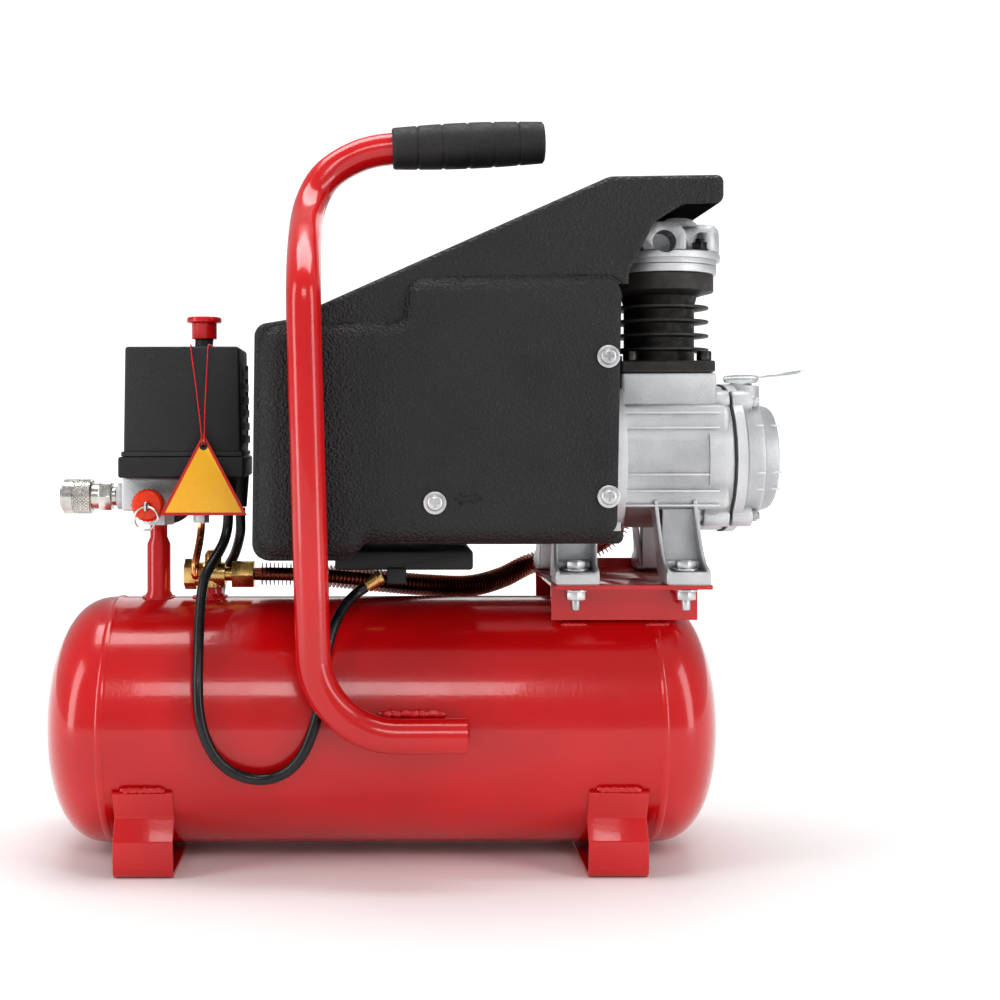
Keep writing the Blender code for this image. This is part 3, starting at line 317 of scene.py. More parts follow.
RUBBER = make_rubber()
SHEATH = make_sheath()
RED_PLASTIC = make_moulding("red moulding", (0.5, 0.006, 0.01), (0.68, 0.012, 0.016), 0.2, 0.3)
ORANGE_ANODISED = make_moulding("orange anodised cap", (0.70, 0.038, 0.006), (0.85, 0.06, 0.010), 0.22, 0.34)
CLEAR_PLASTIC = make_moulding(
    "clear moulding", (0.84, 0.88, 0.88), (0.94, 0.96, 0.96), 0.06, 0.14, clear=0.85
)
YELLOW_CARD = make_moulding("yellow laminate", (0.86, 0.44, 0.02), (0.93, 0.52, 0.03), 0.22, 0.32)
RED_CARD = make_moulding("red laminate", (0.5, 0.01, 0.012), (0.62, 0.014, 0.018), 0.22, 0.32)
WHITE_DIAL = make_moulding("white dial", (0.78, 0.78, 0.76), (0.85, 0.85, 0.83), 0.35, 0.45)
print("made rubber, sheath and six mouldings")

# %% [markdown]
# ## Finishes on the CAD nodes
# A CAD node whose shape is right keeps its mesh and only gets a material. The table goes from a finish to the
# names of the nodes that wear it.

# %% Give every CAD node its finish
WEARERS = (
    (
        RED_ENAMEL,
        "tank_shell foot_strap_left foot_strap_right handle_tube pump_bracket riser_pipe valve_bung",
    ),
    (GRAINED_PLASTIC, "shroud"),
    (FINE_PLASTIC, "terminal_box switch_base switch_cover cooling_fan gauge_case"),
    (RUBBER, "handle_grip crankcase_gasket"),
    (CAST_ALUMINIUM, "crankcase crankcase_cover valve_plate cylinder_head piston connecting_rod motor_rotor"),
    (CAST_ALUMINIUM, "motor_end_bell manifold"),
    (BARE_STEEL, "wrist_pin crankshaft motor_stator bearing_crank bearing_fan"),
    (ZINC_STEEL, "pump_bolt_1 pump_bolt_2 shroud_screw_1 shroud_screw_2 shroud_screw_3"),
    (PLATED_STEEL, "safety_valve_stem pull_ring coupler_body coupler_sleeve"),
    (CAST_IRON, "cylinder"),
    (BRASS, "drain_cock_body drain_screw lead_gland check_valve_body discharge_nut"),
    (COPPER, "unloader_tube"),
    (DARK_COPPER, "discharge_tube"),
    (SHEATH, "motor_lead mains_lead mains_coil mains_tail mains_plug"),
    (CLEAR_PLASTIC, "oil_plug"),
    (ORANGE_ANODISED, "safety_valve_body"),
    (RED_PLASTIC, "switch_knob gauge_needle tag_string"),
    (YELLOW_CARD, "warning_tag"),
)
for coat, names in WEARERS:
    for name in names.split():
        node = frame["nodes"][name]
        node.data.materials.clear()
        node.data.materials.append(coat)
print("dressed", sum(len(names.split()) for _, names in WEARERS), "nodes")

# %% [markdown]
# ## Cords
# A cord is one smooth line with a round section. Its line is a Catmull-Rom curve through a few chosen points,
# which passes through each of them, read off at even steps. The same points lie behind the CAD solids, so the
# cord lies where they are. A curve object with a bevel then gives the round section.


# %% A smooth line through chosen points
def smooth_route(points, step):
    """A Catmull-Rom line through the points, in metres, read off every step metres."""
    ends = [points[0] * 2 - points[1], points[-1] * 2 - points[-2]]
    knots = [ends[0], *points, ends[1]]
    fine = []
    for a, b, c, d in zip(knots, knots[1:], knots[2:], knots[3:]):
        for k in range(24):
            t = k / 24
            bend = (a * 2 - b * 5 + c * 4 - d) * t**2 + (b * 3 - a - c * 3 + d) * t**3
            fine.append((b * 2 + (c - a) * t + bend) * 0.5)
    fine.append(knots[-2])
    route = [fine[0]]
    walked = 0.0
    for a, b in zip(fine, fine[1:]):
        walked += (b - a).length
        if walked >= step:
            route.append(b)
            walked = 0.0
    if (route[-1] - fine[-1]).length > step * 0.3:
        route.append(fine[-1])
    else:
        route[-1] = fine[-1]
    return route


def length_of(route):
    return sum((b - a).length for a, b in zip(route, route[1:]))


def cord_object(name, route, diameter, coat, roundness=6):
    """A curve with a round bevel along the route, with closed ends."""
    curve = bpy.data.curves.new(name, "CURVE")
    curve.dimensions = "3D"
    spline = curve.splines.new("POLY")
    spline.points.add(len(route) - 1)
    for point, spot in zip(spline.points, route):
        point.co = (*spot, 1.0)
    curve.bevel_depth = diameter / 2
    curve.bevel_resolution = roundness
    curve.use_fill_caps = True
    curve.materials.append(coat)
    made = bpy.data.objects.new(name, curve)
    bpy.context.scene.collection.objects.link(made)
    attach(made, "frame")
    return made


# %% [markdown]
# ### The motor's lead
# It comes straight down out of the switch's sleeve, hangs in front of the tank in one big loop and rises into
# the brass gland under the motor.

# %% Motor lead
LEAD_D = 0.0072
motor_points = [
    at(-103, -20, 242.4), at(-103, -20, 238), at(-103.3, -20.6, 231.5), at(-104.2, -22.5, 225.3),
    at(-105.7, -25.6, 219.7), at(-107.7, -29.6, 215), at(-110.8, -35.7, 209.3), at(-113.8, -41.8, 203.6),
    at(-115.8, -45.8, 199), at(-117.3, -49.4, 193.2), at(-118.2, -56, 181), at(-118.3, -64.5, 167.5),
    at(-117.4, -77, 149), at(-116.6, -86.4, 131), at(-115.2, -91.3, 114), at(-111.5, -92.9, 98.6),
    at(-104.6, -92.6, 84.6), at(-94.5, -91, 74.6), at(-82, -89.8, 69.4), at(-69, -89.8, 69.2),
    at(-57, -91.2, 74.6), at(-47.6, -92.4, 85), at(-41.2, -91, 99), at(-37, -87.8, 113),
    at(-34.4, -84, 127), at(-33, -80, 140), at(-31, -74, 154), at(-27, -66, 166.5),
    at(-21, -54.5, 177.2), at(-13.6, -45.2, 184.6), at(-9.5, -42.6, 187.5), at(-5.9, -42, 189.9),
]
motor_route = smooth_route(motor_points, 0.003)
motor_cord = cord_object("motor_cord", motor_route, LEAD_D, SHEATH)
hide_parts("motor_lead")
print("motor lead:", round(length_of(motor_route), 3), "m")

# %% [markdown]
# ### The mains lead
# Its unused length is put away behind the machine: it comes down the back of the tank, winds inwards on the
# floor, climbs onto its own turns, winds outwards again and ends in the plug, which lies beside the coil.
# The turns are a spiral whose radius changes by one cord's width a turn, so they touch and never cross.

# %% Mains lead, coil and tail
mains_points = [
    at(-97, 8, 242.4), at(-97, 8, 236), at(-97.5, 11, 223), at(-102, 18, 208),
    at(-109, 27, 196), at(-114, 40, 184), at(-117, 56, 173), at(-118, 72, 158),
    at(-118.5, 85, 138), at(-119, 93, 114), at(-118.5, 96, 90), at(-117, 97.2, 66),
    at(-115.6, 98.8, 46), at(-115, 100.2, 31), at(-115.1, 103.2, 20.5), at(-115.4, 108.3, 13),
    at(-115.8, 115, 7.9), at(-116.2, 122.2, 5.0), at(-116.6, 131, 3.9), at(-116.6, 146, 3.9),
    at(-116.4, 161.3, 3.9),
]
COIL_X = -66.0
COIL_Y = 190.0
OUTER_R = 49.8
PITCH = 7.3
TURNS = 5.5
HALF = TURNS / 2
coil_points = []
for k in range(1, round(TURNS * 24)):
    turn = k / 24
    radius = OUTER_R - PITCH * (HALF - abs(turn - HALF))
    climb = min(1.0, max(0.0, (turn - HALF + 0.3) / 0.6))
    height = 3.9 + 7.6 * climb * climb * (3 - 2 * climb)
    angle = math.pi - math.tau * turn
    coil_points.append(at(COIL_X + radius * math.cos(angle), COIL_Y + radius * math.sin(angle), height))
tail_points = [
    at(-16.0, 176, 11.5), at(-15.6, 161.3, 11.6), at(-15.4, 154, 11.8), at(-15.2, 146, 12.2),
    at(-15.2, 138.4, 12.4),
]
mains_route = smooth_route(mains_points[:-1] + coil_points + tail_points, 0.003)
mains_cord = cord_object("mains_cord", mains_route, LEAD_D, SHEATH)
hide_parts("mains_lead", "mains_coil", "mains_tail")
print("mains lead:", round(length_of(mains_route), 3), "m in", TURNS, "turns")

# %% [markdown]
# ### The tag's string
# A thin waxed string lies round the collar of the knob and hangs over the cover's front edge to the card.

# %% Tag string
STRING_D = 0.001
string_points = [
    at(-118.9, -41.4, 288.2), at(-119.4, -41.3, 298), at(-121.2, -39.6, 312), at(-124.0, -36.6, 332),
    at(-126.8, -33.8, 350), at(-127.6, -32.0, 357.3), at(-128.6, -25, 358.1), at(-129.6, -10, 358.0),
    at(-129.7, 0.5, 357.95), at(-127.0, 6.0, 357.95), at(-122.0, 8.0, 357.95), at(-117.0, 6.0, 357.95),
    at(-114.3, 0.5, 357.95), at(-114.4, -10, 358.0), at(-115.0, -25, 358.1), at(-115.6, -32.0, 357.3),
    at(-115.8, -33.8, 350), at(-116.4, -36.6, 332), at(-117.0, -39.6, 312), at(-117.1, -41.3, 298),
    at(-117.1, -41.4, 288.2),
]
string_route = smooth_route(string_points, 0.0012)
string_cord = cord_object("tag_loop", string_route, STRING_D, RED_PLASTIC, 3)
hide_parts("tag_string")
print("string:", round(length_of(string_route), 3), "m")

# %% [markdown]
# ## Smooth copies of the CAD's own shapes
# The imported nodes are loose, flat triangles. A copy whose doubles are merged can be shaded smoothly, and a
# Bevel modifier rounds its edges so that they catch a line of light, as every cast, folded or moulded edge
# does. The copy stands for the node, and rides on the body that the node belongs to.


# %% Helpers that copy, join and round
def only(*objs):
    """Selects these objects and nothing else, the last one active."""
    bpy.ops.object.select_all(action="DESELECT")
    for obj in objs:
        obj.hide_set(False)
        obj.select_set(True)
    bpy.context.view_layer.objects.active = objs[-1]


def mesh_object(name, build):
    """Turns a finished bmesh into an object of the scene."""
    mesh = bpy.data.meshes.new(name)
    build.to_mesh(mesh)
    build.free()
    made = bpy.data.objects.new(name, mesh)
    bpy.context.scene.collection.objects.link(made)
    return made


def in_mm(line):
    """A turned profile of (along, radius) pairs, from millimetres to metres."""
    return [(a * MM, r * MM) for a, r in line]


def smooth(obj, angle=34):
    only(obj)
    bpy.ops.object.shade_smooth_by_angle(angle=math.radians(angle))


def apply_all(obj):
    only(obj)
    for step in list(obj.modifiers):
        bpy.ops.object.modifier_apply(modifier=step.name)


def edge_round(obj, width, segments=2, angle=34):
    """Rounds every edge sharper than the angle by a Bevel modifier."""
    bevel = obj.modifiers.new("round edges", "BEVEL")
    bevel.width = width * MM
    bevel.segments = segments
    bevel.limit_method = "ANGLE"
    bevel.angle_limit = math.radians(angle)
    bevel.use_clamp_overlap = True
    bevel.harden_normals = False
    apply_all(obj)


BODY_OF = {name: body for body, names in frame["record"]["behaviour"]["bodies"].items() for name in names}


def refined(node, round_by):
    """A merged, smooth and rounded copy of a CAD node, which stands for it."""
    source = frame["nodes"][node]
    mesh = source.data.copy()
    mesh.name = f"{node}_fine"
    made = bpy.data.objects.new(f"{node}_fine", mesh)
    bpy.context.scene.collection.objects.link(made)
    only(made)
    bpy.ops.object.mode_set(mode="EDIT")
    bpy.ops.mesh.select_all(action="SELECT")
    bpy.ops.mesh.remove_doubles(threshold=0.000008)
    bpy.ops.mesh.dissolve_limited(angle_limit=math.radians(1.0))
    bpy.ops.object.mode_set(mode="OBJECT")
    if round_by:
        edge_round(made, round_by)
    smooth(made)
    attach(made, BODY_OF[node])
    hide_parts(node)
    return made


# %% [markdown]
# ### Which nodes are copied
# Castings get a generous rounding, folded sheet and moulded covers a smaller one, and turned parts a trace.

# %% Refine the nodes whose shape only needs smoothing
ROUNDING = (
    (1.0, "crankcase"),
    (0.7, "cylinder_head manifold motor_end_bell"),
    (0.9, "switch_cover"),
    (0.5, "foot_strap_left foot_strap_right pump_bracket switch_base terminal_box cylinder valve_plate"),
    (0.3, "check_valve_body safety_valve_body discharge_nut drain_cock_body"),
    (0.3, "drain_screw lead_gland riser_pipe valve_bung switch_knob gauge_case"),
    (0.2, "oil_plug warning_tag safety_valve_stem"),
    (
        0.0,
        "pull_ring gauge_needle unloader_tube motor_stator motor_rotor crankshaft bearing_crank bearing_fan",
    ),
    (0.0, "cooling_fan crankcase_gasket piston wrist_pin connecting_rod"),
)
fine = {}
for width, names in ROUNDING:
    for name in names.split():
        fine[name] = refined(name, width)
print("refined", len(fine), "nodes,", sum(len(o.data.polygons) for o in fine.values()), "faces")

# %% [markdown]
# ## Tank
# A tank is rolled sheet with a pressed end welded in at each side. Its section is drawn once as a row of
# points from tip to tip and turned round the long axis. The ends follow a superellipse, squarer than a ball,
# and a narrow raised band is the seam weld. Turning a line is what the spin tool does in edit mode.


# %% Turned pieces
def turned(name, profile, coat, body, axis="X", steps=96, node=None, sharp=34):
    """Spins a line of (along, radius) points, in metres, round an axis through the object's origin."""
    build = bmesh.new()
    line = [build.verts.new((0.0, r, a)) for a, r in profile]
    for p, q in zip(line, line[1:]):
        build.edges.new((p, q))
    made = mesh_object(name, build)
    only(made)
    bpy.ops.object.mode_set(mode="EDIT")
    bpy.ops.mesh.select_all(action="SELECT")
    bpy.ops.mesh.spin(steps=steps, angle=math.tau, center=(0, 0, 0), axis=(0, 0, 1), use_auto_merge=True)
    bpy.ops.mesh.select_all(action="SELECT")
    bpy.ops.mesh.remove_doubles(threshold=0.000004)
    bpy.ops.mesh.normals_make_consistent(inside=False)
    bpy.ops.object.mode_set(mode="OBJECT")
    turn = {"X": Matrix.Rotation(math.radians(90), 4, "Y"), "Y": Matrix.Rotation(math.radians(-90), 4, "X")}
    made.data.transform(turn.get(axis, Matrix.Identity(4)))
    made.data.materials.append(coat)
    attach(made, body)
    if node:
        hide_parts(node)
    smooth(made, sharp)
    return made


def move_to(obj, place, turn=None):
    """Puts the mesh itself at a place, so that the object stays at the origin."""
    if turn is not None:
        obj.data.transform(turn)
    obj.data.transform(Matrix.Translation(place))
    return obj


# %% The tank's skin
TANK_R = 0.0865
TANK_Z = (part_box("tank_shell")[0][2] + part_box("tank_shell")[1][2]) / 2
TANK_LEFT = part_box("tank_shell")[0][0]
TANK_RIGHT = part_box("tank_shell")[1][0]
DOME = 0.045
SEAM = 0.047


def tank_half(radius, steps=28):
    """From the tip to the middle: the pressed end, the seam's weld and the rolled wall."""
    end = (TANK_RIGHT - TANK_LEFT) / 2
    points = []
    for k in range(steps + 1):
        angle = math.pi / 2 * k / steps
        inward = DOME * (1 - max(0.0, math.cos(angle)) ** 0.8)
        points.append((end - inward, radius * math.sin(angle) ** 0.8))
    for k in range(9):
        swing = k / 8
        rise = 0.0009 * math.sin(math.pi * swing) ** 0.7 if 0 < swing < 1 else 0.0
        points.append((end - SEAM + 0.003 - 0.006 * swing, radius + rise))
    return points


right_half = tank_half(TANK_R)
tank_line = right_half + [(-a, r) for a, r in reversed(right_half)]
tank = turned("tank_skin", tank_line, RED_ENAMEL, "frame", "X", steps=160, node="tank_shell")
move_to(tank, ((TANK_LEFT + TANK_RIGHT) / 2, TANK_Y, TANK_Z))
print("tank:", len(tank.data.polygons), "faces")

# %% [markdown]
# ### Weld beads
# A bead laid by hand is a row of small overlapping ripples. It is a tube along the joint whose radius swells
# and shrinks with each drop, with a little seeded unevenness.


# %% Weld beads
import random

dice = random.Random(7)


def weld_bead(name, points, radius, body="frame", coat=None):
    """A rippled tube along a line of points, laid down drop by drop."""
    route = smooth_route([Vector(p) for p in points], radius * 0.45)
    build = bmesh.new()
    rings = []
    side = Vector((0.31, 0.22, 0.93))
    for k, spot in enumerate(route):
        ahead = (route[min(k + 1, len(route) - 1)] - route[max(k - 1, 0)]).normalized()
        side = (side - ahead * side.dot(ahead)).normalized()
        up = ahead.cross(side)
        swell = 0.82 + 0.18 * abs(math.sin(k * 1.05)) + dice.uniform(-0.07, 0.07)
        near_end = min(k, len(route) - 1 - k)
        swell *= min(1.0, 0.35 + near_end * 0.22)
        loop = []
        for j in range(10):
            a = math.tau * j / 10
            loop.append(build.verts.new(spot + radius * swell * (math.cos(a) * side + math.sin(a) * up)))
        rings.append(loop)
    for low, high in zip(rings, rings[1:]):
        for j in range(10):
            i = (j + 1) % 10
            build.faces.new((low[j], low[i], high[i], high[j]))
    build.faces.new(list(reversed(rings[0])))
    build.faces.new(rings[-1])
    bmesh.ops.recalc_face_normals(build, faces=build.faces)
    made = mesh_object(name, build)
    made.data.materials.append(coat or RED_ENAMEL)
    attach(made, body)
    smooth(made, 60)
    return made


def circle_on_tank(x, y, radius, lift=0.2, count=18):
    """Points round a pipe that stands on the tank's top."""
    spots = []
    for k in range(count + 1):
        a = math.tau * k / count
        px, py = x + radius * math.cos(a), y + radius * math.sin(a)
        spots.append(at(px, py, 92 + lift + math.sqrt(86.5**2 - py**2)))
    return spots


handle_seam = [
    at(x, -90.6 - 0.9 * math.sin(x), 111.6 + 0.5 * math.sin(x * 0.7)) for x in range(2, 48, 3)
]
beads = [
    weld_bead("weld_riser", circle_on_tank(-155, 0, 10.9), 0.0011),
    weld_bead("weld_bung", circle_on_tank(-118, 0, 11.9), 0.0011),
    weld_bead("weld_handle", handle_seam, 0.0033),
    weld_bead("weld_handle_low", [at(x, -88.4, 88.2) for x in range(8, 54, 4)], 0.0016),
]
for k, x in enumerate((-154, 162)):
    for side, label in ((-1, "front"), (1, "rear")):
        y = side * math.sqrt(87.0**2 - 33.0**2) + side * 1.4
        line = [at(x + d, y, 59.8 + 0.5 * math.sin(d * 1.3)) for d in range(-15, 17, 2)]
        beads.append(weld_bead(f"weld_strap_{k}_{label}", line, 0.0023))
foot_z = 92 + math.sqrt(86.5**2 - 47.6**2)
for side, label in ((-1, "front"), (1, "rear")):
    for k, (low, high) in enumerate(((128, 146), (186, 202))):
        line = [at(x, side * 48.4, foot_z + 0.2 + 0.3 * math.sin(x * 1.7)) for x in range(low, high + 1, 2)]
        beads.append(weld_bead(f"weld_bracket_{label}_{k}", line, 0.0016))
print(len(beads), "weld beads")

# %% [markdown]
# ## Handle
# The handle is one steel tube bent on a mandrel. The same chosen points as in the CAD give its line, and a
# ring swept along it gives the tube. Its lower end is simply sawn off, so it stays open and has a wall.


# %% A swept tube
def arc_corner(before, corner, after, radius, steps):
    """The arc of a bend between two straight stretches."""
    a = (before - corner).normalized()
    b = (after - corner).normalized()
    half = a.angle(b) / 2
    reach = radius / math.tan(half)
    middle = corner + (a + b).normalized() * radius / math.sin(half)
    first, last = corner + a * reach - middle, corner + b * reach - middle
    return [middle + turn_between(first, last, k / steps) for k in range(steps + 1)]


def turn_between(first, last, share):
    sweep = first.angle(last)
    return (math.sin((1 - share) * sweep) * first + math.sin(share * sweep) * last) / math.sin(sweep)


def swept_tube(name, route, outer, inner, coat, body, node=None, sides=40):
    """Sweeps an outer and an inner ring along the route and closes both ends as a pipe's cut wall."""
    build = bmesh.new()
    side = Vector((0, 1, 0))
    outside, inside = [], []
    for k, spot in enumerate(route):
        ahead = (route[min(k + 1, len(route) - 1)] - route[max(k - 1, 0)]).normalized()
        side = (side - ahead * side.dot(ahead)).normalized()
        up = ahead.cross(side)
        for rings, radius in ((outside, outer), (inside, inner)):
            spots = []
            for j in range(sides):
                a = math.tau * j / sides
                spots.append(build.verts.new(spot + radius * (math.cos(a) * side + math.sin(a) * up)))
            rings.append(spots)
    loops = outside + inside[::-1]
    for low, high in zip(loops, loops[1:] + loops[:1]):
        for j in range(sides):
            i = (j + 1) % sides
            build.faces.new((low[j], low[i], high[i], high[j]))
    bmesh.ops.recalc_face_normals(build, faces=build.faces)
    made = mesh_object(name, build)
    made.data.materials.append(coat)
    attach(made, body)
    if node:
        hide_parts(node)
    smooth(made, 50)
    return made


# %% The handle's tube
handle_corner = arc_corner(at(60, -99.6, 99), at(-38.5, -99.6, 99), at(-45.5, -101, 370), 0.055, 24)
handle_top = [
    at(-45.5, -101.0, 370.0), at(-45.8, -98.6, 388.5), at(-46.3, -85.0, 406.0), at(-46.8, -61.0, 426.0),
    at(-46.6, -33.0, 445.5), at(-43.2, -17.0, 462.2), at(-36.0, -11.0, 476.5), at(-25.3, -8.5, 486.5),
    at(-10.7, -8.0, 494.2), at(2.1, -8.0, 497.8), at(12.9, -8.0, 499.2),
]
handle_tip = at(118.5, -8.0, 503.4)
handle_route = [at(60, -99.6, 99)] + handle_corner + smooth_route(handle_top, 0.004) + [handle_tip]
swept_tube("handle_bend", handle_route, 0.0115, 0.0097, RED_ENAMEL, "frame", "handle_tube")
print("handle:", round(length_of(handle_route), 3), "m of tube")

# %% [markdown]
# ### Grip
# The grip is a moulded rubber sleeve, a little barrel-shaped, with five fine grooves round it and a domed
# closed end. It is turned like the tank, then tilted along the end of the tube.

# %% Grip
GRIP_LENGTH = 0.108
grip_line = [(0.0, 0.0117), (0.0, 0.0136), (0.0008, 0.0144), (0.002, 0.0147)]
for k in range(1, 97):
    share = k / 97
    belly = 0.0147 + 0.0016 * math.sin(math.pi * share)
    nearest = abs((share * 6) - round(share * 6)) * GRIP_LENGTH / 6
    inside_range = 0 < round(share * 6) < 6
    groove = 0.0009 * max(0.0, 1 - (nearest / 0.0011) ** 2) if inside_range else 0.0
    grip_line.append((GRIP_LENGTH * share, belly - groove))
grip_line += [
    (GRIP_LENGTH - 0.0008, 0.0142), (GRIP_LENGTH, 0.0132), (GRIP_LENGTH + 0.0002, 0.012),
    (GRIP_LENGTH + 0.0002, 0.0),
]
grip = turned("grip_sleeve", grip_line, RUBBER, "frame", "X", steps=72, node="handle_grip", sharp=45)
rise = handle_tip - handle_top[-1]
tilt = math.atan2(rise.z, rise.x)
grip_start = handle_tip + rise * ((TANK_X + 0.0135 - handle_tip.x) / rise.x)
move_to(grip, grip_start, Matrix.Rotation(-tilt, 4, "Y"))
print("grip tilted by", round(math.degrees(tilt), 2), "degrees")

# %% [markdown]
# ## Hood
# The hood is one injection moulding: thin walls, every edge rounded so that the plastic flows and leaves the
# mould, and a side panel that rises from the wall in a soft step. Its outlines are the CAD's. The outline is
# pushed out and its rim is built from several rings that follow an S curve, which a single bevel can't give.


# %% Rounded outlines and soft rims
def rounded_path(corners, steps=8):
    """A closed outline of (x, z, radius) corners, in millimetres, with an arc at each corner."""
    path = []
    count = len(corners)
    for i, (x, z, radius) in enumerate(corners):
        corner = Vector((x, 0, z))
        if radius == 0:
            path.append(corner)
            continue
        before = Vector((corners[i - 1][0], 0, corners[i - 1][1]))
        after = Vector((corners[(i + 1) % count][0], 0, corners[(i + 1) % count][1]))
        path += arc_corner(before, corner, after, radius, steps)
    return path


def inset_path(path, amount):
    """Moves a closed outline inwards by an amount in millimetres, point by point along its own normals."""
    moved = []
    count = len(path)
    for i, spot in enumerate(path):
        back = (spot - path[i - 1]).normalized()
        ahead = (path[(i + 1) % count] - spot).normalized()
        normal = Vector((back.z + ahead.z, 0, -back.x - ahead.x)).normalized()
        bend = max(0.5, normal.dot(Vector((back.z, 0, -back.x))))
        moved.append(spot + normal * amount / bend)
    return moved


def soft_slab(name, path, reach, rim):
    """A solid between -reach and +reach whose rim follows (inset, depth below the face) pairs."""
    build = bmesh.new()
    levels = []
    for side in (-1, 1):
        steps = [(inset, side * (reach - depth)) for inset, depth in rim]
        levels += list(reversed(steps)) if side < 0 else steps
    rings = []
    for inset, y in levels:
        rings.append([build.verts.new(at(p.x, y, p.z)) for p in inset_path(path, inset)])
    for low, high in zip(rings, rings[1:]):
        for i in range(len(low)):
            j = (i + 1) % len(low)
            build.faces.new((low[i], low[j], high[j], high[i]))
    build.faces.new(list(reversed(rings[0])))
    build.faces.new(rings[-1])
    bmesh.ops.recalc_face_normals(build, faces=build.faces)
    return mesh_object(name, build)


def combine(obj, others, operation):
    """Joins or cuts whole solids with an exact Boolean modifier, and removes the tools."""
    for other in others:
        step = obj.modifiers.new("combine", "BOOLEAN")
        step.operation = operation
        step.solver = "EXACT"
        step.object = other
        only(obj)
        bpy.ops.object.modifier_apply(modifier=step.name)
        bpy.data.objects.remove(other, do_unlink=True)
    return obj


def slab(name, outline, low, high, axis="Y"):
    """A plain solid of an outline in millimetres pushed along an axis, used as a tool or a start."""
    build = bmesh.new()
    spots = {
        "X": lambda a, b, t: at(t, a, b), "Y": lambda a, b, t: at(a, t, b), "Z": lambda a, b, t: at(a, b, t),
    }
    rings = [[build.verts.new(spots[axis](a, b, t)) for a, b in outline] for t in (low, high)]
    for i in range(len(outline)):
        j = (i + 1) % len(outline)
        build.faces.new((rings[0][i], rings[0][j], rings[1][j], rings[1][i]))
    build.faces.new(list(reversed(rings[0])))
    build.faces.new(rings[1])
    bmesh.ops.recalc_face_normals(build, faces=build.faces)
    return mesh_object(name, build)


def block(name, low, high):
    (x0, y0, z0), (x1, y1, z1) = low, high
    return slab(name, [(x0, z0), (x1, z0), (x1, z1), (x0, z1)], y0, y1)


def finish_piece(obj, coat, body, node, angle):
    """Smooths and dresses a piece, and makes it ride on its body."""
    obj.data.materials.clear()
    obj.data.materials.append(coat)
    smooth(obj, angle)
    even = obj.modifiers.new("even", "WEIGHTED_NORMAL")
    even.keep_sharp = True
    even.weight = 80
    apply_all(obj)
    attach(obj, body)
    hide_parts(node)
    return obj


# %% The hood's outlines, in millimetres
HOOD_CORNERS = [
    (-81.5, 211, 12), (-79.5, 368.5, 9), (-58, 372, 10), (-34, 382.5, 10), (157, 467, 14),
    (233, 468, 5), (233, 448.5, 6), (205, 447.5, 10), (187, 436, 10), (170, 403, 9), (166, 222, 5),
    (-8, 222, 6), (-16, 211, 6),
]
PANEL_CORNERS = [
    (-76, 216, 12), (-75, 366, 14), (20, 369, 7), (24, 398, 13), (166.5, 400, 12), (163, 226, 12),
    (-6, 226, 7), (-14, 216, 12),
]
HOOD_RIM = [(0.0, 4.6), (0.12, 3.4), (0.6, 2.1), (1.4, 1.0), (2.7, 0.25), (4.4, 0.0)]
PANEL_RIM = [
    (-2.0, 14.0), (-1.9, 7.0), (-1.5, 6.2), (-0.5, 5.1), (0.9, 3.8), (2.8, 2.4), (5.0, 1.25), (7.6, 0.45),
    (10.8, 0.0),
]

hood = soft_slab("hood_shell", rounded_path(HOOD_CORNERS), 81.5, HOOD_RIM)
panels = soft_slab("hood_panels", rounded_path(PANEL_CORNERS), 88.0, PANEL_RIM)
hollow = slab(
    "hood_hollow",
    [(-76.5, 190), (-74.5, 366), (-58, 369.5), (-33, 380), (158, 464), (230.5, 465.5), (230.5, 190)],
    -79.0, 79.0,
)
panel_hollow = slab(
    "panel_hollow",
    [
        (-70.5, 221), (-69.5, 352), (-62, 361), (24.5, 364.5), (28.5, 387), (35, 393.5), (190, 395.5),
        (190, 231),
        (-11, 231), (-18, 221),
    ],
    -85.5, 85.5,
)
combine(hood, [panels], "UNION")
combine(hood, [hollow, panel_hollow], "DIFFERENCE")
only(hood)
bpy.ops.object.mode_set(mode="EDIT")
bpy.ops.mesh.select_all(action="SELECT")
bpy.ops.mesh.remove_doubles(threshold=0.000003)
bpy.ops.object.mode_set(mode="OBJECT")
print("hood shell:", len(hood.data.polygons), "faces")

# %% [markdown]
# ### Vents, screw seats and the moulded arrow
# Slots in the end wall let the fan draw air. Each screw sits in a round seat, and a small sunken arrow by the
# lowest screw is left by the mould.

# %% Openings in the hood
SCREWS = ((154.5, 346.5), (154.5, 254.2), (40.0, 250.2))
tools = [block(f"vent_{k}", (-95, -55, 250 + 14 * k), (-65, 55, 256 + 14 * k)) for k in range(7)]
arrow = [
    (52, 252.5), (58, 257.0), (58, 254.6), (68, 256.4), (71, 253.0), (68, 250.4), (58, 250.6),
    (58, 248.2),
]
tools.append(slab("arrow_seat", arrow, -90, -87.1))
combine(hood, tools, "DIFFERENCE")
finish_piece(hood, GRAINED_PLASTIC, "frame", "shroud", 32)
print("hood with", len(tools), "openings:", len(hood.data.polygons), "faces")

# %% [markdown]
# ### Screws with a crossed recess
# A pan-head screw is turned, then a cross is cut into its head. The screws on the far side are mirrored
# copies with their own mesh, whose faces are flipped back to point outwards.


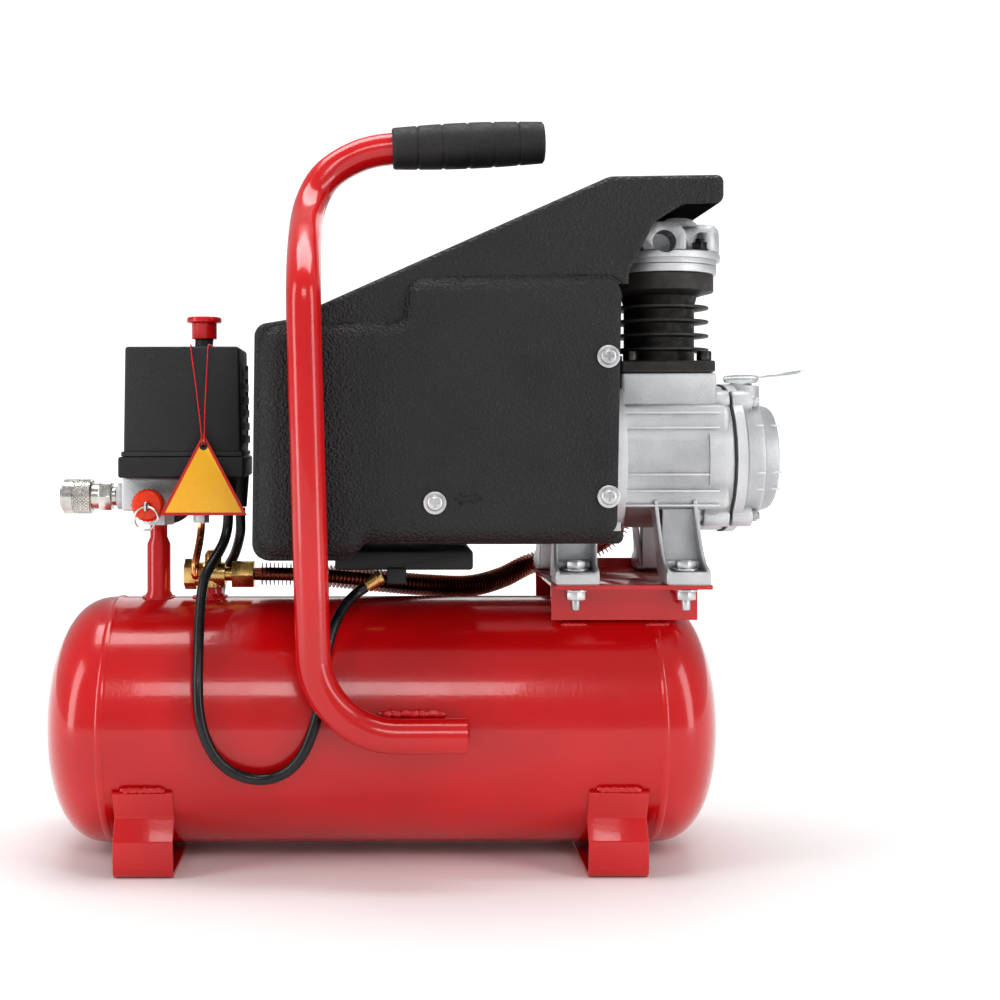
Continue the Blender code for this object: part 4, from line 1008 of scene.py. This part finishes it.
# %% Hood screws
def cross_screw(name, x, z):
    """A turned pan head on its washer, with a crossed recess, at a place on the hood's front."""
    face = 88.3
    line = [
        (-12.0, 0.0), (-12.0, 2.2), (0.0, 2.2), (0.0, 7.3), (0.15, 7.5), (0.9, 7.5), (1.05, 7.3), (1.05, 5.4),
        (1.3, 5.5), (1.9, 5.45), (2.6, 5.0), (3.1, 4.2), (3.4, 3.0), (3.5, 0.0),
    ]
    screw = turned(
        name, [(-a * MM, r * MM) for a, r in line], ZINC_STEEL, "frame", "Y", steps=48, node=None, sharp=38
    )
    move_to(screw, at(x, -face, z))
    arms = []
    for k in range(2):
        arm = [(x - 2.9, z - 0.55), (x + 2.9, z - 0.55), (x + 2.9, z + 0.55), (x - 2.9, z + 0.55)]
        if k:
            arm = [(x - 0.55, z - 2.9), (x + 0.55, z - 2.9), (x + 0.55, z + 2.9), (x - 0.55, z + 2.9)]
        arms.append(slab(f"{name}_arm_{k}", arm, -face - 6, -face - 2.0))
    combine(screw, arms, "DIFFERENCE")
    smooth(screw, 38)
    return screw


for k, (x, z) in enumerate(SCREWS):
    screw = cross_screw(f"hood_screw_{k + 1}", x, z)
    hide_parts(f"shroud_screw_{k + 1}")
    rear = screw.copy()
    rear.data = screw.data.copy()
    rear.name = f"hood_screw_rear_{k + 1}"
    bpy.context.scene.collection.objects.link(rear)
    for vert in rear.data.vertices:
        vert.co.y = 2 * TANK_Y - vert.co.y
    rear.data.flip_normals()
    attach(rear, "frame")
print("six crossed screws, three on each side")

# %% [markdown]
# ## Crankcase
# The casting's main body is the CAD's. What the die adds to it is modelled here: thin ribs along the barrel
# that stiffen it, screw bosses round its mouth, and two flanges on each foot that stand proud of the web
# between them. A rib is a cube stretched along the casting, with its edges bevelled.


# %% Helpers for bars, round bosses and copies
def bar(name, low, high, round_by=0.4, segments=2):
    """A cube shaped to its corners, in millimetres, with bevelled edges."""
    bpy.ops.object.select_all(action="DESELECT")
    middle = [(l + h) / 2 for l, h in zip(low, high)]
    bpy.ops.mesh.primitive_cube_add(size=1.0, location=at(*middle))
    made = bpy.context.object
    made.name = name
    made.scale = [(h - l) * MM for l, h in zip(low, high)]
    bpy.ops.object.transform_apply(location=True, rotation=True, scale=True)
    edge_round(made, round_by, segments, 30)
    return made


def boss(name, centre, axis, length, radius, round_by=0.5, sides=32):
    """A round bar with bevelled rims, centred on a place in millimetres."""
    turn = {"X": (0, math.radians(90), 0), "Y": (math.radians(90), 0, 0), "Z": (0, 0, 0)}[axis]
    bpy.ops.object.select_all(action="DESELECT")
    bpy.ops.mesh.primitive_cylinder_add(
        vertices=sides, radius=radius * MM, depth=length * MM, location=at(*centre), rotation=turn
    )
    made = bpy.context.object
    made.name = name
    bpy.ops.object.transform_apply(location=True, rotation=True, scale=True)
    edge_round(made, round_by, 2, 40)
    return made


def gather(name, parts, coat, body):
    """Joins finished parts into one piece that rides on a body."""
    only(*parts[1:], parts[0])
    if len(parts) > 1:
        bpy.ops.object.join()
    made = bpy.context.view_layer.objects.active
    made.name = name
    made.data.materials.clear()
    made.data.materials.append(coat)
    smooth(made)
    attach(made, body)
    return made


# %% Ribs along the barrel
ribs = []
for z in (310.0, 299.7, 267.5, 256.2, 246.3):
    for side in (-1, 1):
        skin = 48.0 if abs(z - 278) < 38 else 46.0
        low, high = (165.8, side * skin - 2.4, z - 0.75), (237.0, side * skin + 2.4, z + 0.75)
        ribs.append(bar("rib", low, high, 0.5))
gather("case_ribs", ribs, CAST_ALUMINIUM, "frame")
print(len(ribs), "ribs")

# %% [markdown]
# ### Foot flanges
# Each foot is a web with a flange on either side that sweeps outwards to the pad, as a casting does to
# carry a bolt's pull. The flange's side view is drawn once, pushed to its thickness, and leaned to follow
# the web.


# %% Foot flanges
def foot_flange(x, side, lean):
    """One flange of a foot: it starts at x on the pad and leans by so many millimetres at the top."""
    outline = [
        (side * 34, 250), (side * 50.0, 250), (side * 49.6, 236), (side * 50.2, 224), (side * 52.4, 213.5),
        (side * 57.0, 206.5), (side * 66.0, 203.6), (side * 67.2, 202.2), (side * 67.2, 197),
        (side * 34, 197),
    ]
    made = slab("flange", outline, x - 1.4, x + 1.4, "X")
    for vert in made.data.vertices:
        rise = max(0.0, vert.co.z - 0.203) / 0.047
        vert.co.x += lean * MM * rise
    edge_round(made, 0.9, 3, 30)
    return made


flanges = []
for centre, lean in ((137.0, 3.0), (212.0, -5.5)):
    for side in (-1, 1):
        flanges.append(foot_flange(centre - 13.4, side, lean))
        flanges.append(foot_flange(centre + 13.4, side, lean))
        low, high = sorted((side * 42.0, side * 48.0))
        flanges.append(bar("web_fill", (centre - 13, low, 202), (centre + 13, high, 209), 2.8, 4))
gather("foot_flanges", flanges, CAST_ALUMINIUM, "frame")
print(len(flanges), "foot details")

# %% Screw bosses round the crankcase's mouth, with their screws
AXIS_Z = 278.0
CASE_ANGLES = (53, 127, 233, 307)
bosses, screws, cover_bosses, nuts = [], [], [], []
for angle in CASE_ANGLES:
    y = 50.0 * math.cos(math.radians(angle))
    z = AXIS_Z + 50.0 * math.sin(math.radians(angle))
    bosses.append(boss("case_boss", (238.0, y, z), "X", 18.0, 7.6, 0.9))
    screws.append(boss("case_screw", (227.4, y, z), "X", 4.2, 4.2, 0.4, 6))
    cover_bosses.append(boss("cover_boss", (255.8, y, z), "X", 14.4, 7.6, 1.2))
    nuts.append(boss("cover_nut", (264.6, y, z), "X", 4.6, 4.4, 0.5, 6))
    nuts.append(boss("cover_stud", (267.4, y, z), "X", 3.4, 2.6, 0.4, 20))
gather("case_bosses", bosses, CAST_ALUMINIUM, "frame")
gather("cover_bosses", cover_bosses, CAST_ALUMINIUM, "frame")
gather("case_screws", screws + nuts, ZINC_STEEL, "frame")
print(len(CASE_ANGLES), "screws round the mouth")

# %% [markdown]
# ### Cover
# The cover is a stepped dome with a rounded rim. It is turned from its section, and ribs run across it
# towards its face. The filler boss is a short round neck on top.

# %% Cover
start = 248.6
cover_line = [
    (9, 0), (9, 40), (0, 42), (0, 52.4), (0.4, 53), (6.9, 53), (7.6, 52.3), (8.2, 49.5), (9.4, 48.2),
    (19.5, 46.6),
    (21.4, 45.6), (22.4, 43.6), (22.8, 40.4), (23.6, 39.0), (32.0, 36.6), (33.6, 35.4), (34.3, 33.2),
    (34.5, 30.5),
    (34.6, 0),
]
cover = turned("cover_dome", in_mm(cover_line), CAST_ALUMINIUM, "frame", "X", steps=96, sharp=32)
move_to(cover, at(start, 0, AXIS_Z))
neck = boss("filler_neck", (264.0, 0, 315.0), "Z", 2 * (329.7 - 315.0), 12.9, 0.8, 48)
combine(cover, [neck], "UNION")
well = boss("filler_well", (264.0, 0, 327.0), "Z", 30.0, 8.3, 0.05, 40)
combine(cover, [well], "DIFFERENCE")
finish_piece(cover, CAST_ALUMINIUM, "frame", "crankcase_cover", 32)
cover_ribs = []
for z in (301.0, 268.5, 257.0):
    reach = math.sqrt(max(0.0, 46.0**2 - (z - AXIS_Z) ** 2))
    inner = math.sqrt(max(0.0, 36.0**2 - (z - AXIS_Z) ** 2))
    for side in (-1, 1):
        low, high = sorted((side * (inner - 6), side * (inner + 1.6)))
        cover_ribs.append(bar("cover_rib", (262.0, low, z - 0.8), (283.9, high, z + 0.8), 0.5))
        low, high = sorted((side * (reach - 6), side * (reach + 1.3)))
        cover_ribs.append(bar("cover_rib", (255.0, low, z - 0.8), (269.6, high, z + 0.8), 0.5))
gather("cover_ribs", cover_ribs, CAST_ALUMINIUM, "frame")
print("cover with", len(cover_ribs), "ribs")

# %% [markdown]
# ### Cylinder, head and their screws
# Four socket-head screws hold the cylinder down. Each is a short round bar with a hexagon sunk into its top.
# The head's studs carry plain hexagon nuts.


# %% Socket screws and head nuts
def socket_screw(name, x, y, z):
    head = boss(name, (x, y, z + 3.3), "Z", 6.6, 5.1, 0.5, 40)
    bpy.ops.object.select_all(action="DESELECT")
    bpy.ops.mesh.primitive_cylinder_add(vertices=6, radius=2.9 * MM, depth=6 * MM, location=at(x, y, z + 6.8))
    tool = bpy.context.object
    return combine(head, [tool], "DIFFERENCE")


seat = 346.4
SOCKET_SPOTS = ((230.5, -31), (230.5, 31), (179, -31), (179, 31))
socket_screws = [socket_screw(f"socket_{k}", x, y, seat) for k, (x, y) in enumerate(SOCKET_SPOTS)]
gather("cylinder_screws", socket_screws, DARK_STEEL, "frame")
head_parts = []
for k in range(4):
    angle = math.radians(45 + 90 * k)
    x, y = 205 + 34.0 * math.cos(angle), 34.0 * math.sin(angle)
    head_parts.append(boss("head_washer", (x, y, 424.4), "Z", 1.2, 6.2, 0.2))
    head_parts.append(boss("head_nut", (x, y, 427.4), "Z", 5.0, 5.4, 0.5, 6))
    head_parts.append(boss("head_stud", (x, y, 430.6), "Z", 3.6, 2.9, 0.4, 20))
gather("head_nuts", head_parts, DARK_STEEL, "frame")
ear = boss("head_ear", (236.5, -13.0, 431.0), "Z", 15.0, 7.5, 2.6, 40)
ear_back = boss("head_ear_back", (236.5, 13.0, 431.0), "Z", 15.0, 7.5, 2.6, 40)
fins = [bar("head_fin", (196 + 9 * k, -12, 424), (197.6 + 9 * k, 34, 439.5), 0.6) for k in range(5)]
gather("head_details", [ear, ear_back, *fins], CAST_ALUMINIUM, "frame")
print("four socket screws, four studs and the head's details")

# %% [markdown]
# ### Foot bolts
# Each foot is held by a flanged hexagon bolt with a nut and washer under the plate. The bolts at the back
# repeat the front ones.


# %% Foot bolts
def bolt_parts(x, y):
    top = 202.3
    return [
        boss("flange", (x, y, top + 0.8), "Z", 1.6, 8.6, 0.3),
        boss("head", (x, y, top + 4.2), "Z", 5.4, 7.4, 0.7, 6),
        boss("dish", (x, y, top + 7.0), "Z", 0.8, 5.0, 0.3),
        boss("washer", (x, y, 189.0), "Z", 1.4, 8.4, 0.2),
        boss("nut", (x, y, 185.4), "Z", 5.8, 7.4, 0.6, 6),
        boss("stud", (x, y, 179.4), "Z", 8.0, 3.1, 0.6, 24),
    ]


for k, x in enumerate((137.0, 212.0)):
    front = gather(
        f"foot_bolt_front_{k + 1}", bolt_parts(x, -55.5), ZINC_STEEL, BODY_OF[f"pump_bolt_{k + 1}"]
    )
    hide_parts(f"pump_bolt_{k + 1}")
    gather(f"foot_bolt_rear_{k + 1}", bolt_parts(x, 55.5), ZINC_STEEL, "frame")
print("four foot bolts")

# %% [markdown]
# ## Finned delivery pipe
# The hot air leaves through a copper pipe wound with thin fins that cool it. The fins are made in the same
# sweep as the pipe: the ring that travels along the line steps out for each fin and back again.


# %% A place a given distance along a line
def walk_route(route, distances):
    """The places at these distances along the line, in metres, for distances that grow."""
    found = []
    i, gone = 0, 0.0
    for want in distances:
        while i < len(route) - 2 and gone + (route[i + 1] - route[i]).length < want:
            gone += (route[i + 1] - route[i]).length
            i += 1
        span = (route[i + 1] - route[i]).length
        found.append(route[i].lerp(route[i + 1], min(1.0, (want - gone) / span)))
    return found


def swept_skin(name, spots, radii, coat, body, sides=20, sharp=40):
    """A closed round skin through the places, with its own radius at each."""
    build = bmesh.new()
    side = Vector((0, 1, 0.1))
    rings = []
    for k, (spot, radius) in enumerate(zip(spots, radii)):
        ahead = (spots[min(k + 3, len(spots) - 1)] - spots[max(k - 3, 0)]).normalized()
        side = (side - ahead * side.dot(ahead)).normalized()
        up = ahead.cross(side)
        loop = []
        for j in range(sides):
            a = math.tau * j / sides
            loop.append(build.verts.new(spot + radius * (math.cos(a) * side + math.sin(a) * up)))
        rings.append(loop)
    for low, high in zip(rings, rings[1:]):
        for j in range(sides):
            i = (j + 1) % sides
            build.faces.new((low[j], low[i], high[i], high[j]))
    build.faces.new(list(reversed(rings[0])))
    build.faces.new(rings[-1])
    bmesh.ops.recalc_face_normals(build, faces=build.faces)
    made = mesh_object(name, build)
    made.data.materials.append(coat)
    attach(made, body)
    smooth(made, sharp)
    return made


# %% The pipe and its fins
pipe_points = [
    at(-85.9, 0, 195), at(-60, 1, 194.6), at(-30, 6, 192.5), at(5, 16, 188), at(40, 30, 183.5),
    at(72, 48, 181),
    at(98, 70, 185), at(120, 82, 194), at(145, 84, 201), at(168, 84, 205), at(187, 83, 218), at(197, 81, 245),
    at(203, 79, 290), at(208, 76, 340), at(213, 72, 385), at(216, 68, 412), at(217, 62, 426),
    at(217, 54, 433),
    at(217, 46.6, 433),
]
pipe_route = smooth_route(pipe_points, 0.002)
pipe_length = length_of(pipe_route)
FIN_PITCH = 0.0029
distances, radii = [0.0, 0.004], [0.0046, 0.0046]
reached = 0.005
while reached < pipe_length - 0.018:
    distances += [reached, reached + 0.0001, reached + 0.0006, reached + 0.0007]
    radii += [0.0047, 0.0081, 0.0081, 0.0047]
    reached += FIN_PITCH
distances += [pipe_length - 0.008, pipe_length - 0.0001]
radii += [0.0046, 0.0046]
finned = swept_skin("finned_pipe", walk_route(pipe_route, distances), radii, DARK_COPPER, "frame")
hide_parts("discharge_tube")
print("pipe:", round(pipe_length, 3), "m with", len(radii) // 4, "fins")

# %% [markdown]
# ## Coupler
# The hose coupler's sleeve is knurled so that wet fingers can pull it. A diamond knurl is two sets of
# slanting grooves that cross. The sleeve's wall is a grid of points round the axis, each moved in where a
# groove runs.


# %% Knurled sleeve
COUPLER_Z = 251.0


def knurled(name, left, right, radius, body, inner, grooves=30, depth=0.75):
    """A sleeve between two places along X, in millimetres: a plain collar, then a knurled grip."""
    around, along = grooves * 8, 44
    build = bmesh.new()
    collar = left + (right - left) * 0.40
    line = [(left + 0.3, inner), (left, inner + 0.8), (left, radius - 1.2), (left + 0.8, radius)]
    line += [(collar - 0.8, radius), (collar - 0.5, radius - 0.7), (collar, radius - 0.7)]
    knurl_from = len(line)
    for k in range(along + 1):
        line.append((collar + 0.3 + (right - collar - 1.3) * k / along, radius - 0.1))
    knurl_to = len(line)
    line += [(right - 0.4, radius - 0.6), (right, radius - 1.4), (right, inner)]
    rings = []
    for k, (x, r) in enumerate(line):
        loop = []
        for j in range(around):
            a = math.tau * j / around
            cut = 0.0
            if knurl_from < k < knurl_to - 1:
                one = abs(math.sin(grooves * a / 2 + x * 1.15))
                two = abs(math.sin(grooves * a / 2 - x * 1.15))
                cut = depth * (1 - min(1.0, 2.2 * min(one, two)))
            loop.append(build.verts.new(at(x, (r - cut) * math.cos(a), COUPLER_Z + (r - cut) * math.sin(a))))
        rings.append(loop)
    for low, high in zip(rings, rings[1:] + rings[:1]):
        for j in range(around):
            i = (j + 1) % around
            build.faces.new((low[j], low[i], high[i], high[j]))
    bmesh.ops.recalc_face_normals(build, faces=build.faces)
    made = mesh_object(name, build)
    made.data.materials.append(PLATED_STEEL)
    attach(made, body)
    smooth(made, 30)
    return made


sleeve = knurled("coupler_sleeve_knurled", -223.0, -202.0, 12.5, BODY_OF["coupler_sleeve"], 9.8)
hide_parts("coupler_sleeve")
neck_line = [
    (-184.3, 0), (-184.3, 6.6), (-184.9, 7.0), (-187.6, 7.0), (-188.0, 7.4), (-188.0, 9.4), (-197.0, 9.4),
    (-197.6, 9.5), (-223.9, 9.5), (-224.5, 8.9), (-224.5, 5.6), (-224.1, 5.2), (-204.0, 5.2), (-204.0, 0),
]
coupler = turned("coupler_barrel", in_mm(neck_line), PLATED_STEEL, "frame", "X", steps=64)
move_to(coupler, at(0, 0, COUPLER_Z))
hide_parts("coupler_body")
spanner = boss("coupler_hexagon", (-192.5, 0, COUPLER_Z), "X", 9.0, 11.2, 0.7, 6)
gather("coupler_hex", [spanner], PLATED_STEEL, "frame")
print("coupler:", len(sleeve.data.polygons), "faces in the knurl")

# %% [markdown]
# ## Switch cover
# The cover is drawn narrower towards the top so that it leaves its mould. Louvres on the side that faces the
# hood let heat out, and a shallow step runs round its foot.

# %% Switch cover
cover_copy = fine["switch_cover"]
for vert in cover_copy.data.vertices:
    height = (vert.co.z / MM - 280.3) / (357 - 280.3)
    middle = TANK_X - 134.0 * MM
    if 0 <= height <= 1.001:
        vert.co.x = middle + (vert.co.x - middle) * (1 - 0.03 * height)
louvres = [
    bar("louvre", (-94.6, -24, 289 + 9.4 * k), (-91.2 - 0.25 * k, 24, 294.6 + 9.4 * k), 0.6) for k in range(6)
]
louvres.append(bar("louvre_frame", (-95, -25.6, 286.6), (-92.6, -23.4, 346), 0.6))
louvres.append(bar("louvre_frame", (-95, 23.4, 286.6), (-92.6, 25.6, 346), 0.6))
gather("switch_louvres", louvres, FINE_PLASTIC, "frame")
skirt = bar("switch_skirt", (-176.4, -33.2, 280.2), (-91.8, 33.2, 283.6), 0.8)
gather("switch_step", [skirt], FINE_PLASTIC, "frame")
print("switch cover with", len(louvres) - 2, "louvres")

# %% [markdown]
# ## Warning tag
# A laminated card is yellow with a red printed border and a metal eyelet. The border is its own thin layer,
# cut from the same triangle drawn inwards, so its edge stays crisp. The card carries no words.


# %% Tag card, border and eyelet
def triangle(inset):
    """The card's outline as (x, z), moved in by an inset in millimetres."""
    outer = [Vector((0, 0, 9)), Vector((30, 0, -48)), Vector((-30, 0, -48))]
    return [(-118.0 + p.x, 287.5 + p.z) for p in inset_path(outer, inset)]


def frame_layer(name, y0, y1):
    """A three-sided border between two insets, as one thin solid."""
    levels = ((y0, 0.0), (y0, 2.0), (y1, 2.0), (y1, 0.0))
    rings = [[at(x, y, z) for x, z in triangle(inset)] for y, inset in levels]
    build = bmesh.new()
    verts = [[build.verts.new(p) for p in ring] for ring in rings]
    for low, high in zip(verts, verts[1:] + verts[:1]):
        for j in range(3):
            i = (j + 1) % 3
            build.faces.new((low[j], low[i], high[i], high[j]))
    bmesh.ops.recalc_face_normals(build, faces=build.faces)
    return mesh_object(name, build)


tag_body = BODY_OF["warning_tag"]
borders = [frame_layer("border_front", -40.44, -40.36), frame_layer("border_back", -39.64, -39.56)]
gather("tag_border", borders, RED_CARD, tag_body)
eyelet_line = [(-0.62, 1.65), (-0.62, 2.5), (-0.45, 2.9), (0.45, 2.9), (0.62, 2.5), (0.62, 1.65)]
eyelet_line.append(eyelet_line[0])
eyelet = turned("tag_eyelet", in_mm(eyelet_line), DARK_STEEL, tag_body, "Y", steps=32)
move_to(eyelet, at(-118.0, -40.0, 287.5))
print("tag with its border and eyelet")

# %% [markdown]
# ## Safety valve, gauge and fittings
# The valve's orange cap has a fluted rim. The gauge has a white dial with ticks and numbers, under a clear
# glass. Numbers are text objects made into mesh, which is the plainest way to draw a figure.

# %% Fluted cap of the safety valve
flutes = []
for k in range(24):
    a = math.tau * k / 24
    x, z = -158 + 11.0 * math.cos(a), 246 + 11.0 * math.sin(a)
    flutes.append(boss("flute", (x, -29.3, z), "Y", 4.4, 0.75, 0.2, 8))
gather("valve_flutes", flutes, ORANGE_ANODISED, "frame")
print(len(flutes), "flutes")

# %% Gauge dial, ticks, numbers and glass
marks = []
for k in range(31):
    a = math.radians(225 - 9 * k)
    long = k % 5 == 0
    tick = bar("tick", (-0.16, -0.06, 0), (0.16, 0.06, 2.4 if long else 1.3), 0.02, 1)
    tick.data.transform(Matrix.Translation(-at(0, 0, 0)))
    tick.data.transform(Matrix.Translation((0, 0, (11.2 if long else 12.0) * MM)))
    tick.data.transform(Matrix.Rotation(math.radians(90) - a, 4, "Y"))
    tick.data.transform(Matrix.Rotation(math.pi, 4, "Z"))
    tick.data.transform(Matrix.Translation(at(-150, 24.75, 246)))
    marks.append(tick)
for k in range(7):
    a = math.radians(225 - 45 * k)
    figure = bpy.data.curves.new("figure", "FONT")
    figure.body = str(2 * k)
    figure.size = 3.4 * MM
    figure.align_x = "CENTER"
    figure.align_y = "CENTER"
    figure.extrude = 0.05 * MM
    digit = bpy.data.objects.new("digit", figure)
    bpy.context.scene.collection.objects.link(digit)
    only(digit)
    bpy.ops.object.convert(target="MESH")
    digit = bpy.context.object
    digit.data.transform(Matrix.Rotation(math.radians(90), 4, "X"))
    digit.data.transform(Matrix.Rotation(math.pi, 4, "Z"))
    spot = (-150 - 8.6 * math.cos(a), 24.75, 246 + 8.6 * math.sin(a))
    digit.data.transform(Matrix.Translation(at(*spot)))
    marks.append(digit)
gather("gauge_marks", marks, DARK_STEEL, "frame")
face = boss("gauge_face", (-150, 24.4, 246), "Y", 0.5, 14.4, 0.1, 64)
gather("gauge_dial", [face], WHITE_DIAL, "frame")
glass_line = [(32.2, 0), (32.2, 14.3), (33.0, 14.4), (33.6, 13.6), (33.9, 8), (34.0, 0)]
glass = turned("gauge_glass", in_mm(glass_line), CLEAR_PLASTIC, "frame", "Y", steps=64)
move_to(glass, at(-150, 0, 246))
print("dial with", len(marks), "marks")

# %% Tie round the coil
tie_line = []
for k in range(25):
    a = math.tau * k / 24
    bulge = 1.0 + 0.12 * math.cos(2 * a)
    tie_line.append(at(COIL_X + 42.0 + 13.6 * math.cos(a) * bulge, COIL_Y + 1.5, 9.0 + 8.1 * math.sin(a)))
swept_skin("coil_tie", tie_line[:-1] + [tie_line[0]], [0.0007] * 25, RED_PLASTIC, "frame", 10)
print("coil tied")

# %% [markdown]
# ## Floor and light
# The machine stands on a light table: a pale floor that glows a little more the farther it is from the
# machine, so that it meets the white background without a line. Tall soft lights at the sides and one above
# draw long bright streaks in the enamel, and the world is white to look at but dimmer as a light, so reds
# stay deep.

# %% Floor
bpy.ops.object.select_all(action="DESELECT")
bpy.ops.mesh.primitive_plane_add(size=1.0)
floor = bpy.context.object
floor.name = "floor"
floor.scale = (60.0, 60.0, 1.0)
bpy.ops.object.transform_apply(location=False, rotation=False, scale=True)
floor_coat, floor_tree, floor_shader = finish("pale floor", (0.93, 0.93, 0.93), 0.6)
floor_tree.links.new(
    tint(floor_tree, grain(floor_tree, 3.0), (0.92, 0.92, 0.92), (0.94, 0.94, 0.94)),
    floor_shader.inputs["Base Color"],
)
floor_shader.inputs["Specular IOR Level"].default_value = 0.1
place = floor_tree.nodes.new("ShaderNodeTexCoord")
reach = floor_tree.nodes.new("ShaderNodeVectorMath")
reach.operation = "LENGTH"
floor_tree.links.new(place.outputs["Object"], reach.inputs[0])
glow = spread(floor_tree, reach.outputs["Value"], 0.0, 0.72, 0.5, 3.0)
floor_shader.inputs["Emission Color"].default_value = (1.0, 1.0, 1.0, 1.0)
floor_tree.links.new(glow, floor_shader.inputs["Emission Strength"])
floor.data.materials.append(floor_coat)
print("floor laid")


# %% Lights
def soft_light(name, place, aim, size, watts):
    data = bpy.data.lights.new(name, "AREA")
    data.shape = "RECTANGLE"
    data.size, data.size_y = size
    data.energy = watts
    lamp = bpy.data.objects.new(name, data)
    lamp.location = place
    lamp.rotation_euler = (Vector(aim) - Vector(place)).to_track_quat("-Z", "Y").to_euler()
    bpy.context.scene.collection.objects.link(lamp)
    return lamp


soft_light("overhead", (0.0, 0.1, 1.7), (0, 0, 0.2), (1.5, 0.7), 14)
soft_light("left", (-1.5, -0.7, 0.75), (0, 0, 0.22), (0.5, 1.5), 8)
soft_light("right", (1.4, -0.9, 0.75), (0.05, 0, 0.22), (0.5, 1.5), 7)
soft_light("front", (0.1, -1.9, 1.5), (0, 0, 0.2), (0.9, 0.5), 6)
soft_light("back", (0.2, 1.9, 1.3), (0, 0, 0.25), (1.8, 1.2), 6)

world = bpy.data.worlds.new("studio")
world.use_nodes = True
backdrop = world.node_tree.nodes["Background"]
backdrop.inputs["Color"].default_value = (1.0, 1.0, 1.0, 1.0)
rays = world.node_tree.nodes.new("ShaderNodeLightPath")
world.node_tree.links.new(
    spread(world.node_tree, rays.outputs["Is Camera Ray"], 0.42, 1.0, 0.0, 1.0), backdrop.inputs["Strength"]
)
bpy.context.scene.world = world
bpy.context.scene.view_settings.view_transform = "Standard"
bpy.context.scene.view_settings.look = "Medium High Contrast"
print("five lights and a pale world")

# %% [markdown]
# ## End

# %% Finish
import json
